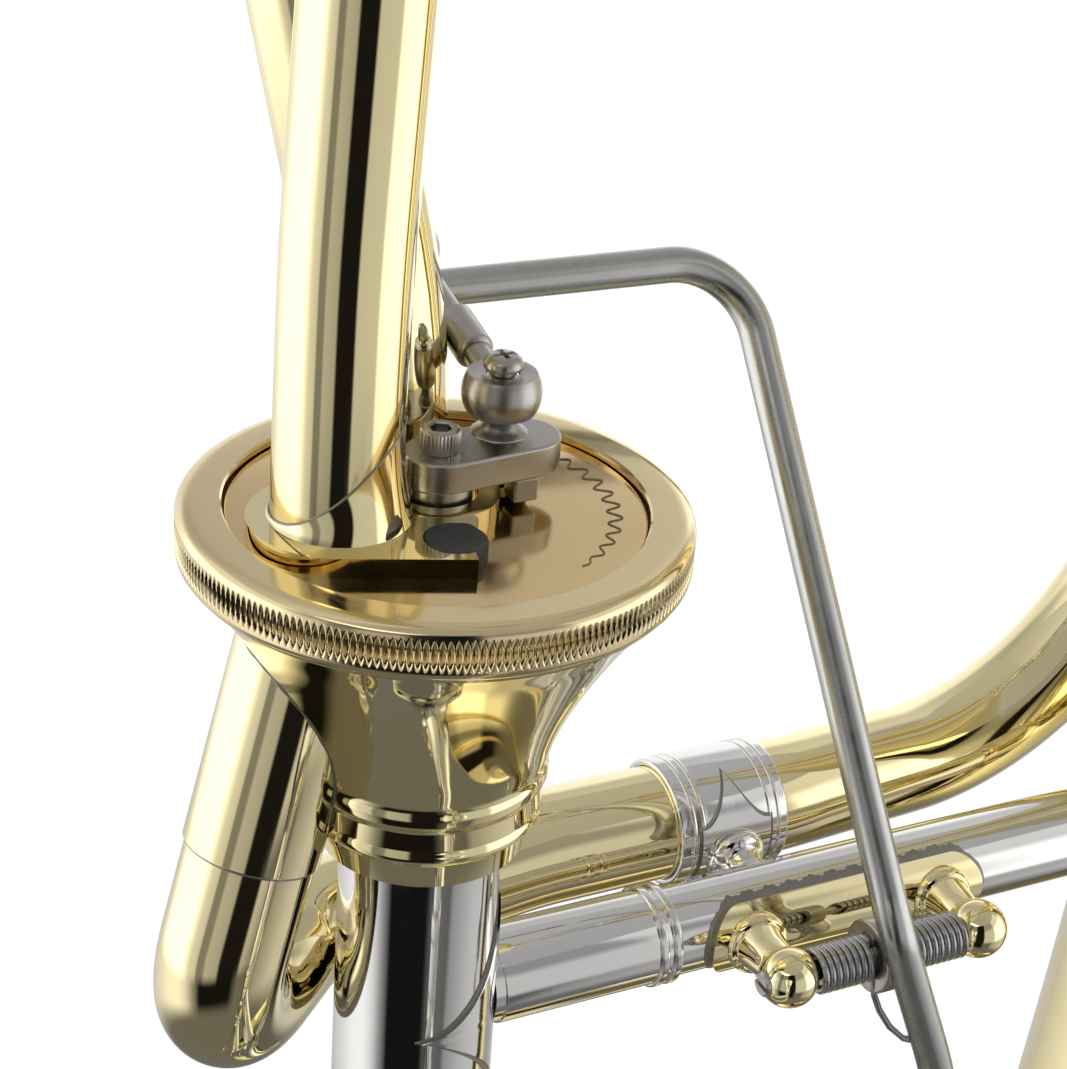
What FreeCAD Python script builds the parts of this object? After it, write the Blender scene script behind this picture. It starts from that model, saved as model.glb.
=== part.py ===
import FreeCAD, Part
import math
import os

V = FreeCAD.Vector

# Large-bore tenor trombone with an F attachment and an axial-flow rotary valve.
# Millimetres.  It is drawn as it stands on a stand: bell and hand slide point down, rear is up.
# +X runs from the slide receiver to the bell, and -Y is the mouthpiece side.
# The drawing's zero is the centre of the valve ring's top face.  On export every piece moves
# so that the frame's origin is the centre of the bell's rim.

# ---------------------------------------------------------------- driving dimensions
TUBE_R, LOOP_R, WALL = 7.4, 8.0, 0.5   # main tube and F loop tube, outer radii, and their wall
BORE_R = TUBE_R - WALL
RUN = 0.05                        # radial clearance of every sliding or turning fit
GAP = 0.35                        # open gap between pieces that only pass each other

BELL_X = 130.0                    # bell axis from the receiver axis
RIM_R, RIM_Z = 108.0, -335.0      # rim radius, and its front face
BELL_WALL = 0.7
FLARE_LENGTH, FLARE_POWER = 48.0, 0.998

RING_R, RING_IN_R, RING_H = 30.0, 24.65, 7.0
PLATE_TOP, PLATE_H = -1.0, 3.0
MAIN_PORT = V(-13.4, -1.6, PLATE_TOP)            # outlet to the main tuning slide
LOOP_PORT = V(-1.5, 14.0, PLATE_TOP)             # outlet to the F loop
MAIN_RISE, LOOP_RISE = V(-12.6, -1.0, 32), V(-1.1, 14.3, 14)   # ends of the outlets' first runs
STOP_H = 2.4
STOP_A, STOP_B = V(-2.9, -11.6, 0), V(10.4, 2.0, 0)   # centres of the two rubber stops
STOP_A_R, STOP_B_R, STOP_TOP = 3.7, 2.0, 1.7
SPINDLE_R, BUSH_R = 2.6, 3.8
ROTOR_TOP, ROTOR_END = -5.2, -31.0
ROTOR_R0, ROTOR_R1, JOURNAL_R, JOURNAL_END = 22.2, 12.0, 10.5, -34.2
REAR_BUSH_R, THROAT_TOP = 12.0, -34.6
ROTOR_TURN = -62.0                               # degrees, from rest to fully pressed

RECEIVER_R, RECEIVER_IN_R = 10.04, 8.3
RECEIVER_TOP, RECEIVER_END, THREAD_END = -45.0, -96.0, -104.0
THREAD_R, NUT_R = 9.2, 12.2
CROSSBAR_Z, CROSSBAR_R, CROSS_SLEEVE_R = -70.6, 6.15, 6.4
CROSS_SLEEVE_END = 36.0

SIDE_TOP, SIDE_BEND = V(-13.6, 3.0, -14.0), V(-30.2, -2.5, -70.7)
SIDE_SLEEVE_R, SIDE_SLEEVE_LENGTH = 8.4, 30.3
RETURN_Y, RETURN_Z = 18.8, -67.0                 # level run of the F loop behind the receiver
FERRULE_X0, FERRULE_X1, RETURN_JOINT_X = 44.5, 61.5, 46.0
LOOP_LEFT, LOOP_RIGHT = V(-21.9, 20.6, 0), V(135.0, 28.0, 0)
MAIN_LEG, BELL_LEG = V(-8.0, 0, 0), V(BELL_X, 0, 0)
BELL_LEG_R = 10.35                               # large leg, on the bell's side
SLEEVE_FOOT_Z, SLEEVE_TOP_Z = 128.0, 214.0       # outer sleeves of both tuning slides
LEG_FOOT_Z, BOW_START_Z = 134.0, 224.0
SLEEVE_WALL = 0.6

SLIDE_Y = -88.0                                  # mouthpiece tube from the receiver axis
INNER_R, STOCKING_R, OUTER_IN_R, OUTER_R = 7.1, 7.34, 7.4, 7.75
TENON_R, TENON_TOP, TENON_END = 8.2, -62.0, -112.5
INNER_END_Z, STOCKING_LENGTH = -790.0, 120.0
BARREL_TOP_Z, BARREL_END_Z, BARREL_R, BARREL_IN_R = -134.5, -176.0, 9.2, 8.1
OUTER_TOP_Z, BOW_Z = -172.0, -816.0
GRIP_Z, LOWER_GRIP_Z, GRIP_R = -124.0, -196.0, 6.0
SLIDE_BOW_R = 8.3
MOUTH_TOP_Z, MOUTH_RECEIVER_TOP, MOUTH_RECEIVER_END = -34.0, -92.0, -112.5
SHANK_END_Z = -117.0

HINGE_Y, HINGE_Z = -16.6, -69.0                  # trigger hinge, parallel to the crossbar
HINGE_X0, HINGE_X1 = 46.0, 75.6
HUB_X0, HUB_X1, HUB_DISC_R = 58.0, 60.6, 5.0
HINGE_BALL_R, HINGE_SCREW_R, HUB_R = 4.0, 1.3, 2.1
ROD_R = 2.38
ARM_TOP, ARM_H, ARM_R = 6.5, 3.8, 4.3
ARM_END = V(11.2, 1.0, 0)
BALL_R, EYE_R, EYE_HALF, STUD_R = 2.9, 4.15, 2.4, 1.2
FAR_BALL_R, FAR_CLEARANCE = 2.0, 1.15
NEAR_BALL = V(8.6, 2.4, 11.6)                    # ball joint on the valve arm
FAR_BALL = V(8.8, 31.5, 18.0)                    # ball joint on the trigger lever
ROD_END_Z = 12.4
LINK_SLEEVE_END, LINK_SLEEVE_R = 15.0, 2.35

ORIGIN = V(BELL_X, 0, RIM_Z)
ZERO, UP, ACROSS, AWAY = V(0, 0, 0), V(0, 0, 1), V(1, 0, 0), V(0, 1, 0)


# ---------------------------------------------------------------- general helpers
def one_solid(shape):
    """The solid in a boolean result, with split faces joined; several stay a compound."""
    clean = shape.removeSplitter()
    return clean.Solids[0] if len(clean.Solids) == 1 else clean


def joined(pieces):
    return one_solid(pieces[0].multiFuse(pieces[1:]))


def group(pieces):
    """Separate solids that share one node."""
    return Part.makeCompound(pieces)


def disc(centre, normal, outer, inner=0.0):
    rims = [Part.Wire(Part.makeCircle(outer, centre, normal))]
    if inner > 0:
        rims.append(Part.Wire(Part.makeCircle(inner, centre, normal)))
    return Part.makeFace(rims, "Part::FaceMakerBullseye")


def bar(start, end, outer, inner=0.0):
    """Round bar, or tube, between two points."""
    return disc(start, end - start, outer, inner).extrude(end - start)


def bent(points, radii, outer, inner=0.0):
    """Round bar or tube of straight runs joined by tangent arcs, one radius per inner point."""
    pieces = []
    start = points[0]
    for before, corner, after, radius in zip(points, points[1:], points[2:], radii):
        into = (corner - before).normalize()
        out = (after - corner).normalize()
        turn = into.getAngle(out)
        cut = radius * math.tan(turn / 2)
        arc_start, arc_end = corner - into * cut, corner + out * cut
        axis = into.cross(out).normalize()
        centre = arc_start + axis.cross(into) * radius
        if (arc_start - start).Length > 0.01:
            pieces.append(bar(start, arc_start, outer, inner))
        arc = disc(arc_start, into, outer, inner)
        pieces.append(arc.revolve(centre, axis, math.degrees(turn)))
        start = arc_end
    if (points[-1] - start).Length > 0.01:
        pieces.append(bar(start, points[-1], outer, inner))
    return joined(pieces) if len(pieces) > 1 else pieces[0]


def turned(profile, base=ZERO, along=UP):
    """Solid of revolution from (radius, height) points, about `along` through `base`."""
    points = [V(r, 0, z) for r, z in profile]
    solid = Part.Face(Part.makePolygon(points + points[:1])).revolve(ZERO, UP, 360)
    solid.Placement = FreeCAD.Placement(base, FreeCAD.Rotation(UP, along))
    return solid


def ferrule(base, along, height, outer, inner, edge=0.4):
    """Ring with chamfered outer edges, for ferrules, sleeves, beads and barrels."""
    return turned([(inner, 0), (outer - edge, 0), (outer, edge), (outer, height - edge),
                   (outer - edge, height), (inner, height)], base, along)


def beaded_sleeve(base, along, height, inner, thick, beads=(0.0, 1.0)):
    """Sleeve with a raised bead near each end given in `beads` (0 foot, 1 head)."""
    bead_w, bead_h = 1.6, 0.7
    step = along.normalize()
    pieces = [ferrule(base, step, height, inner + thick, inner, 0.2)]
    for where in beads:
        foot = base + step * (where * (height - bead_w))
        pieces.append(ferrule(foot, step, bead_w, inner + thick + bead_h, inner, 0.5))
    return joined(pieces)


def plate(outline, z0, z1):
    points = [V(x, y, z0) for x, y in outline]
    return Part.Face(Part.makePolygon(points + points[:1])).extrude(V(0, 0, z1 - z0))


def obround(a, b, radius, z0, z1):
    """Upright plate with straight sides and round ends about a and b."""
    side = UP.cross(b - a).normalize() * radius
    web = plate([(p.x, p.y) for p in (a + side, a - side, b - side, b + side)], z0, z1)
    ends = [bar(p + UP * z0, p + UP * z1, radius) for p in (a, b)]
    return joined([web] + ends)


def box(x0, x1, y0, y1, z0, z1):
    return Part.makeBox(x1 - x0, y1 - y0, z1 - z0, V(x0, y0, z0))


# ---------------------------------------------------------------- bell
def bell_solid():
    """The bell filled in, for trimming what is soldered to it."""
    steps = 24
    heights = [RIM_Z + (SLEEVE_FOOT_Z - RIM_Z) * (i / steps) ** 1.7 for i in range(steps + 1)]
    outline = [(0, RIM_Z)] + [(bell_radius(z), z) for z in heights] + [(0, SLEEVE_FOOT_Z)]
    return turned(outline, V(BELL_X, 0, 0))


def bell_radius(z):
    return RIM_R * (1 + (z - RIM_Z) / FLARE_LENGTH) ** -FLARE_POWER


def flare_edge(inset):
    """Profile of the flare, moved in by `inset`, and its two end points."""
    steps, foot = 20, RIM_Z + 1.4
    heights = [foot + (SLEEVE_FOOT_Z - foot) * (i / steps) ** 1.9 for i in range(steps + 1)]
    points = [V(bell_radius(z) - inset, 0, z) for z in heights]
    curve = Part.BSplineCurve()
    curve.interpolate(points)
    return curve.toShape(), points[0], points[-1]


def bell():
    outer, outer_foot, outer_top = flare_edge(0.0)
    inner, inner_foot, inner_top = flare_edge(BELL_WALL)
    feet, tops = Part.makeLine(outer_foot, inner_foot), Part.makeLine(outer_top, inner_top)
    shell = Part.Face(Part.Wire([outer, tops, inner, feet])).revolve(ZERO, UP, 360)
    rim = turned([(RIM_R - 4, RIM_Z), (RIM_R - 1, RIM_Z), (RIM_R, RIM_Z + 1), (RIM_R, RIM_Z + 2.2),
                  (RIM_R - 1, RIM_Z + 3), (RIM_R - 4, RIM_Z + 3)])
    body = joined([shell, rim])
    body.translate(V(BELL_X, 0, 0))
    return body


# ---------------------------------------------------------------- valve
CASE_PROFILE = [(28.6, -7.0), (25.2, -11.5), (21.4, -17.5), (18.2, -23.5), (16.1, -28.5),
                (14.9, -32.8), (15.1, -34.4), (15.1, -35.4), (14.3, -36.3), (14.3, -39.2),
                (14.6, -39.8), (14.6, -40.6), (13.3, -41.6), (12.8, RECEIVER_TOP)]


def case_body():
    return turned([(0, CASE_PROFILE[0][1])] + CASE_PROFILE + [(0, CASE_PROFILE[-1][1])])


def rotor_body(clearance):
    """The tapered rotor; with a clearance it is the hollow that the rotor turns in."""
    top, end = ROTOR_TOP + clearance, ROTOR_END - clearance
    return turned([(0, top), (ROTOR_R0 + clearance, top), (ROTOR_R0 + clearance, ROTOR_TOP - 2.5),
                   (ROTOR_R1 + clearance, end), (0, end)])


def valve_casing():
    throat = bar(V(0, 0, ROTOR_END), V(0, 0, -46), RECEIVER_IN_R)
    pocket = bar(V(0, 0, ROTOR_END), V(0, 0, THROAT_TOP), REAR_BUSH_R)
    shell = case_body().cut(rotor_body(RUN)).cut(throat).cut(pocket)
    return one_solid(shell.cut(side_way(SIDE_SLEEVE_R)))


def valve_ring():
    return turned([(RING_IN_R, 0), (RING_R - 2.0, 0), (RING_R - 0.5, -0.5), (RING_R, -1.5),
                   (RING_R, -5.6), (RING_R - 0.5, -5.9), (RING_R - 0.8, -RING_H),
                   (RING_IN_R, -RING_H)])


def valve_plate():
    body = bar(V(0, 0, PLATE_TOP - PLATE_H), V(0, 0, PLATE_TOP), RING_IN_R)
    for outlet in (main_outlet(), loop_outlet(), bar(V(0, 0, -9), V(0, 0, 1), BUSH_R)):
        body = body.cut(outlet)
    return one_solid(body)


def main_outlet():
    """Straight first run of the main tube, filled in."""
    return bar(MAIN_PORT - UP * PLATE_H, MAIN_RISE, TUBE_R)


def loop_outlet():
    return bar(LOOP_PORT - UP * PLATE_H, LOOP_RISE, LOOP_R)


def front_bearing():
    """Bush in the middle of the valve plate, for the rotor's spindle."""
    return bar(V(0, 0, PLATE_TOP - PLATE_H), V(0, 0, PLATE_TOP), BUSH_R, SPINDLE_R + RUN)


def rear_bearing():
    """Bush round the journal at the rotor's small end, outside the air way."""
    return upright(0, 0, THROAT_TOP, ROTOR_END - GAP, REAR_BUSH_R, JOURNAL_R + RUN)


def stop_bracket():
    """Brass bracket round the main outlet, whose arm holds the rotor's rubber stop."""
    z0, z1 = PLATE_TOP, PLATE_TOP + STOP_H
    foot = V(MAIN_PORT.x + 0.2, MAIN_PORT.y - 0.6, 0)
    stop_seat = [(4.5, 0.6), (12.9, 0.6), (12.9, 4.2), (4.5, 4.2)]
    pieces = [bar(foot + UP * z0, foot + UP * z1, 10.4), bar(UP * z0, UP * z1, 7.2),
              plate([(-16.8, -11.9), (-2.6, -17.0), (-1.6, -12.5), (1.5, -8.0), (0, 0),
                     (-13.4, -1.6)], z0, z1),
              plate(stop_seat, z0, z0 + 1.0)]
    body = joined(pieces).cut(main_outlet()).cut(loop_outlet())
    for centre, radius in ((ZERO, ARM_R + GAP), (STOP_A, STOP_A_R), (STOP_B, STOP_B_R)):
        body = body.cut(upright(centre.x, centre.y, z0 - 1, z1 + 1, radius))
    return one_solid(body.cut(lug_sweep(z0 - 1, z1 + 1)))


def lug_sweep(z0, z1):
    """The space that the arm's lug turns through between the two rubber stops."""
    inner, outer, start_angle, past = 7.8, 12.1, 22, 3
    start = V(inner, 0, z0)
    face = Part.Face(Part.makePolygon([start, V(outer, 0, z0), V(outer, 0, z1), V(inner, 0, z1),
                                       start]))
    return face.revolve(ZERO, UP * -1, start_angle - ROTOR_TURN + past)


def rubber_stops():
    return group([bar(STOP_A + UP * PLATE_TOP, STOP_A + UP * STOP_TOP, STOP_A_R),
                  bar(STOP_B + UP * PLATE_TOP, STOP_B + UP * STOP_TOP, STOP_B_R)])


def rotor():
    """Tapered plug whose passage joins the receiver's throat to an outlet in the plate.

    Its mouth is long enough to meet either outlet.  A second passage joins the F loop's
    return, in the casing's side, to the main outlet while the trigger is pressed.
    """
    pressed_loop = turned_back(LOOP_PORT)
    pressed_main, pressed_side = turned_back(MAIN_PORT), turned_back(SIDE_TOP)
    body = joined([rotor_body(0), bar(V(0, 0, JOURNAL_END), V(0, 0, ROTOR_END), JOURNAL_R)])
    for mouth in (MAIN_PORT, pressed_loop):
        body = body.cut(bent([V(0, 0, JOURNAL_END - 2), V(0, 0, -26), V(mouth.x, mouth.y, -14),
                              V(mouth.x, mouth.y, 0)], [7.0, 7.0], BORE_R))
    turn_at = V(pressed_main.x, pressed_main.y, SIDE_TOP.z)
    outside = turn_at + V(pressed_side.x, pressed_side.y, 0).normalize() * 16
    second = 5.6
    body = body.cut(joined([bar(turn_at, V(turn_at.x, turn_at.y, 0), second),
                            Part.makeSphere(second, turn_at), bar(turn_at, outside, second)]))
    return one_solid(body.cut(bar(V(0, 0, ROTOR_TOP - 8), V(0, 0, 0), SPINDLE_R)))


def turned_back(point):
    """Where on the rotor at rest a point lies that meets `point` when the rotor is pressed."""
    return FreeCAD.Rotation(UP, -ROTOR_TURN).multVec(point)


def rotor_spindle():
    return bar(V(0, 0, ROTOR_TOP - 8), V(0, 0, ARM_TOP - ARM_H), SPINDLE_R)


def lever_arm():
    arm = obround(ZERO, ARM_END, ARM_R, ARM_TOP - ARM_H, ARM_TOP)
    hub = bar(V(0, 0, PLATE_TOP + GAP), V(0, 0, ARM_TOP - ARM_H), ARM_R - 0.3, SPINDLE_R)
    neck = turned([(0, 0), (3.7, 0), (2.4, 0.7), (1.4, 2.2), (0, 2.2)],
                  V(NEAR_BALL.x, NEAR_BALL.y, ARM_TOP))
    lug = box(8.2, 11.2, -3.4, -0.4, PLATE_TOP + 0.8, ARM_TOP - ARM_H)
    bolt = bar(V(0, 0, -1), V(0, 0, ARM_TOP + 1), 1.5)
    return one_solid(joined([arm, hub, neck, lug]).cut(bolt))


def arm_screw():
    """Socket head cap screw that clamps the arm to the spindle."""
    head = bar(V(0, 0, ARM_TOP), V(0, 0, ARM_TOP + 2.9), 2.35)
    shank = bar(V(0, 0, ARM_TOP - ARM_H), V(0, 0, ARM_TOP), 1.5)
    corners = [V(1.2 * math.cos(a), 1.2 * math.sin(a), ARM_TOP + 1.4)
               for a in [math.pi / 3 * i for i in range(7)]]
    socket = Part.Face(Part.makePolygon(corners)).extrude(UP * 3)
    return one_solid(joined([head, shank]).cut(socket))


def ball_stud():
    """Screw that holds the link's ball on the arm, with a cross-recess pan head."""
    foot, head = NEAR_BALL + UP * (ARM_TOP + 2.2 - NEAR_BALL.z), NEAR_BALL + UP * 3.05
    pan = turned([(0, 0), (2.35, 0), (2.35, 0.6), (1.5, 1.4), (0, 1.7)], head)
    body = joined([bar(foot, head + UP, STUD_R), pan])
    for wide, deep in ((2.2, 0.45), (0.45, 2.2)):
        body = body.cut(box(head.x - wide / 2, head.x + wide / 2, head.y - deep / 2,
                            head.y + deep / 2, head.z + 0.9, head.z + 3))
    return one_solid(body)


def link_ball():
    ball = Part.makeSphere(BALL_R, NEAR_BALL)
    waist = bar(NEAR_BALL - UP * EYE_HALF, NEAR_BALL + UP * EYE_HALF, EYE_R)
    return one_solid(ball.common(waist).cut(bar(NEAR_BALL - UP * 5, NEAR_BALL + UP * 5, STUD_R + RUN)))


def eye(centre, outer, hollow, mouth):
    """Round eye of the link, open above and below, about a ball."""
    body = Part.makeSphere(outer, centre)
    body = body.common(bar(centre - UP * EYE_HALF, centre + UP * EYE_HALF, outer + 1))
    body = body.cut(Part.makeSphere(hollow, centre))
    return body.cut(bar(centre - UP * 5, centre + UP * 5, mouth))


def link():
    """Link from the valve arm to the trigger; its far eye is a loose fit on its ball."""
    run = (FAR_BALL - NEAR_BALL).normalize()
    near_hollow, far_hollow = BALL_R + RUN, FAR_BALL_R + FAR_CLEARANCE
    far_outer = far_hollow + 1.1
    pieces = [eye(NEAR_BALL, EYE_R, near_hollow, 2.2), eye(FAR_BALL, far_outer, far_hollow, 2.4),
              bar(NEAR_BALL + run * 3.5, FAR_BALL - run * (far_outer - 0.6), 1.7),
              bar(NEAR_BALL + run * 7.4, NEAR_BALL + run * LINK_SLEEVE_END, LINK_SLEEVE_R)]
    return joined(pieces)


# ---------------------------------------------------------------- brass tubing of the valve section
def main_tube():
    port = MAIN_PORT - UP * PLATE_H
    return bent([port, MAIN_RISE, MAIN_LEG + UP * 112, MAIN_LEG + UP * SLEEVE_FOOT_Z],
                [400, 400], TUBE_R, BORE_R)


def loop_out_tube():
    port = LOOP_PORT - UP * PLATE_H
    return bent([port, LOOP_RISE, LOOP_LEFT + UP * 118, LOOP_LEFT + UP * SLEEVE_FOOT_Z],
                [110, 60], LOOP_R, LOOP_R - WALL)


def side_way(radius, inner=0.0):
    """The straight run that leaves the side of the valve's cone."""
    run = (SIDE_BEND - SIDE_TOP).normalize()
    return bar(SIDE_TOP, SIDE_TOP + run * SIDE_SLEEVE_LENGTH, radius, inner)


def side_tube():
    """Sleeve that leaves the side of the valve's cone, trimmed to the rotor's hollow."""
    body = side_way(SIDE_SLEEVE_R, LOOP_R).cut(rotor_body(RUN))
    body = body.cut(upright(0, 0, THROAT_TOP, ROTOR_END, REAR_BUSH_R))
    throat = upright(0, 0, -60, 0, RECEIVER_IN_R)
    return max(body.cut(throat).Solids, key=lambda solid: solid.Volume)


def return_crook():
    """Tight crook under the side tube, and its level run to the ferrule."""
    inside = SIDE_TOP + (SIDE_BEND - SIDE_TOP).normalize() * (SIDE_SLEEVE_LENGTH - 12)
    body = bent([inside, SIDE_BEND, V(-8.0, RETURN_Y, -71.0), V(25.0, RETURN_Y, RETURN_Z),
                 V(RETURN_JOINT_X, RETURN_Y, RETURN_Z)], [13.0, 14.0, 60.0], LOOP_R, LOOP_R - WALL)
    return one_solid(body.cut(case_body()))


def return_ferrule():
    base = V(FERRULE_X0, RETURN_Y, RETURN_Z)
    return beaded_sleeve(base, V(1, 0, 0), FERRULE_X1 - FERRULE_X0, LOOP_R, 0.6)


def loop_bend():
    """Bend from the ferrule, behind the bell's stem, up to the F tuning slide."""
    return bent([V(RETURN_JOINT_X, RETURN_Y, RETURN_Z), V(FERRULE_X1 + 3, RETURN_Y, RETURN_Z),
                 LOOP_RIGHT + UP * (RETURN_Z - 3.5), LOOP_RIGHT + UP * SLEEVE_FOOT_Z], [40, 45],
                LOOP_R, LOOP_R - WALL)


# ---------------------------------------------------------------- tuning slides
def upright(x, y, z0, z1, outer, inner=0.0):
    return bar(V(x, y, z0), V(x, y, z1), outer, inner)


def slide_sleeves(legs):
    """Outer sleeves of a tuning slide: (foot on the ground plan, tube radius) for each leg."""
    sleeves = []
    for place, tube_r in legs:
        foot = place + UP * SLEEVE_FOOT_Z
        height = SLEEVE_TOP_Z - SLEEVE_FOOT_Z
        sleeve = ferrule(foot, V(0, 0, 1), height, tube_r + SLEEVE_WALL, tube_r, 0.2)
        mouth = ferrule(foot + UP * (height - 5), V(0, 0, 1), 5, tube_r + 1.4, tube_r, 0.5)
        socket = ferrule(foot - UP * 6, V(0, 0, 1), 10, tube_r + 1.1, tube_r, 0.4)
        sleeves.append(joined([sleeve, mouth, socket]))
    return group(sleeves)


def slide_legs(legs):
    """Nickel legs of a tuning slide, a running fit in their sleeves."""
    return group([upright(p.x, p.y, LEG_FOOT_Z, BOW_START_Z, r - RUN, r - RUN - 0.4)
                  for p, r in legs])


def bow_ferrules(legs, bow_radii):
    """Ferrules between the legs and the bow, which also stop the slide on its sleeves."""
    rings = []
    for (place, leg_r), bow_r in zip(legs, bow_radii):
        base = place + UP * (SLEEVE_TOP_Z + GAP)
        height = BOW_START_Z - base.z
        outer = max(leg_r, bow_r) + 0.9
        rings.append(ferrule(base, V(0, 0, 1), height, outer, leg_r - RUN, 0.8))
    return group(rings)


def tapered_bow(start, end, r0, r1, wall):
    """Half circle of tube between two upright legs, widening from r0 to r1."""
    a, b = start + UP * BOW_START_Z, end + UP * BOW_START_Z
    middle = (a + b) * 0.5
    spine = Part.Wire(Part.Arc(a, middle + UP * ((b - a).Length / 2), b).toShape())
    skins = []
    for inset in (0, wall):
        pipe = Part.BRepOffsetAPI.MakePipeShell(spine)
        pipe.setFrenetMode(True)
        pipe.add(Part.Wire(Part.makeCircle(r0 - inset, a, UP)))
        pipe.add(Part.Wire(Part.makeCircle(r1 - inset, b, UP * -1)))
        pipe.build()
        pipe.makeSolid()
        skins.append(pipe.shape())
    return one_solid(skins[0].cut(skins[1]))


def strut(a, b, radius, flange_r, trim):
    """Brace between two tubes: rod, turned knob in the middle and a round foot at each end."""
    run = (b - a).normalize()
    length = (b - a).Length
    middle = a + run * (length / 2)
    profile = [(0, -5), (radius + 0.2, -5), (radius + 2.2, -1.5), (radius + 2.2, 1.5),
               (radius + 0.2, 5), (0, 5)]
    pieces = [bar(a, b, radius), turned(profile, middle, run)]
    for foot, way in ((a, run), (b, run * -1)):
        pieces.append(turned([(0, 0), (flange_r, 0), (flange_r, 1.6), (radius + 1.0, 3.4),
                              (radius, 6), (0, 6)], foot, way))
    body = joined(pieces)
    for tube in trim:
        body = body.cut(tube)
    return max(body.Solids, key=lambda solid: solid.Volume)


# ---------------------------------------------------------------- receiver and crossbar
def slide_receiver():
    """Socket of the hand slide, with a threaded end for the lock nut."""
    return turned([(RECEIVER_IN_R, RECEIVER_TOP), (RECEIVER_R, RECEIVER_TOP),
                   (RECEIVER_R, RECEIVER_END + 0.6), (RECEIVER_R - 0.4, RECEIVER_END),
                   (THREAD_R, RECEIVER_END), (THREAD_R, THREAD_END), (RECEIVER_IN_R, THREAD_END)])


def crossbar():
    start = V(RECEIVER_R - 1, 0, CROSSBAR_Z)
    body = bar(start, V(BELL_X - 8, 0, CROSSBAR_Z), CROSSBAR_R, CROSSBAR_R - 0.8)
    body = body.cut(upright(0, 0, -90, -50, RECEIVER_R)).cut(bell_solid())
    return max(body.Solids, key=lambda solid: solid.Volume)


def crossbar_sleeve():
    start = V(RECEIVER_R - 1, 0, CROSSBAR_Z)
    sleeve = bar(start, V(CROSS_SLEEVE_END, 0, CROSSBAR_Z), CROSS_SLEEVE_R, CROSSBAR_R)
    beads = [ferrule(V(x, 0, CROSSBAR_Z), V(1, 0, 0), 1.3, CROSS_SLEEVE_R + 0.5, CROSSBAR_R, 0.4)
             for x in (CROSS_SLEEVE_END - 1.3, CROSS_SLEEVE_END - 3.4)]
    body = joined([sleeve] + beads).cut(upright(0, 0, -90, -50, RECEIVER_R))
    return one_solid(body.cut(receiver_flange()))


def receiver_flange():
    """Concave diamond wrapped round the receiver, under the crossbar's foot."""
    half_long, half_angle, thick, steps = 19.0, 112.0, 0.6, 7
    slab_pieces = []
    for i in range(-steps, steps):
        mid = abs(i + 0.5) / steps
        half = half_long * (1 - mid) ** 1.7 + 0.9
        wedge = Part.makeCylinder(RECEIVER_R + thick, 2 * half, V(0, 0, CROSSBAR_Z - half), UP,
                                  half_angle / steps)
        wedge.rotate(ZERO, UP, i * half_angle / steps)
        slab_pieces.append(wedge)
    body = joined(slab_pieces).cut(upright(0, 0, -100, -40, RECEIVER_R))
    crossing = bar(V(0, 0, CROSSBAR_Z), V(40, 0, CROSSBAR_Z), CROSSBAR_R)
    return max(body.cut(crossing).Solids, key=lambda solid: solid.Volume)


def bell_foot():
    """Conical foot that joins the crossbar to the bell's stem."""
    reach = BELL_X - bell_radius(CROSSBAR_Z)
    cone = turned([(CROSSBAR_R, 0), (CROSSBAR_R + 0.9, 0), (CROSSBAR_R + 1.1, 1.2),
                   (CROSSBAR_R + 2.8, 4.2), (CROSSBAR_R + 3.2, 5.2), (CROSSBAR_R + 3.2, 12.0),
                   (CROSSBAR_R, 12.0)], V(reach - 5.0, 0, CROSSBAR_Z), V(1, 0, 0))
    return max(cone.cut(bell_solid()).Solids, key=lambda solid: solid.Volume)


def return_post():
    """Short post between the crossbar and the F loop's ferrule."""
    x = (FERRULE_X0 + FERRULE_X1) / 2
    start, end = V(x, 0, CROSSBAR_Z), V(x, RETURN_Y, RETURN_Z)
    run = (end - start).normalize()
    foot = end - run * (LOOP_R + 1.4)
    collar = [(0, 0), (3.6, 0), (3.6, 1.3), (2.2, 2.6), (0, 2.6)]
    body = joined([bar(start, end, 2.2), turned([(r, z - 1.2) for r, z in collar], foot, run * -1),
                   bar(foot, end, 3.6), bar(start + run * 5, start + run * 7.2, 3.6)])
    body = body.cut(bar(V(x - 9, 0, CROSSBAR_Z), V(x + 9, 0, CROSSBAR_Z), CROSSBAR_R))
    body = body.cut(bar(V(x - 9, RETURN_Y, RETURN_Z), V(x + 9, RETURN_Y, RETURN_Z), LOOP_R + 0.6))
    return max(body.Solids, key=lambda solid: solid.Volume)


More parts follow.
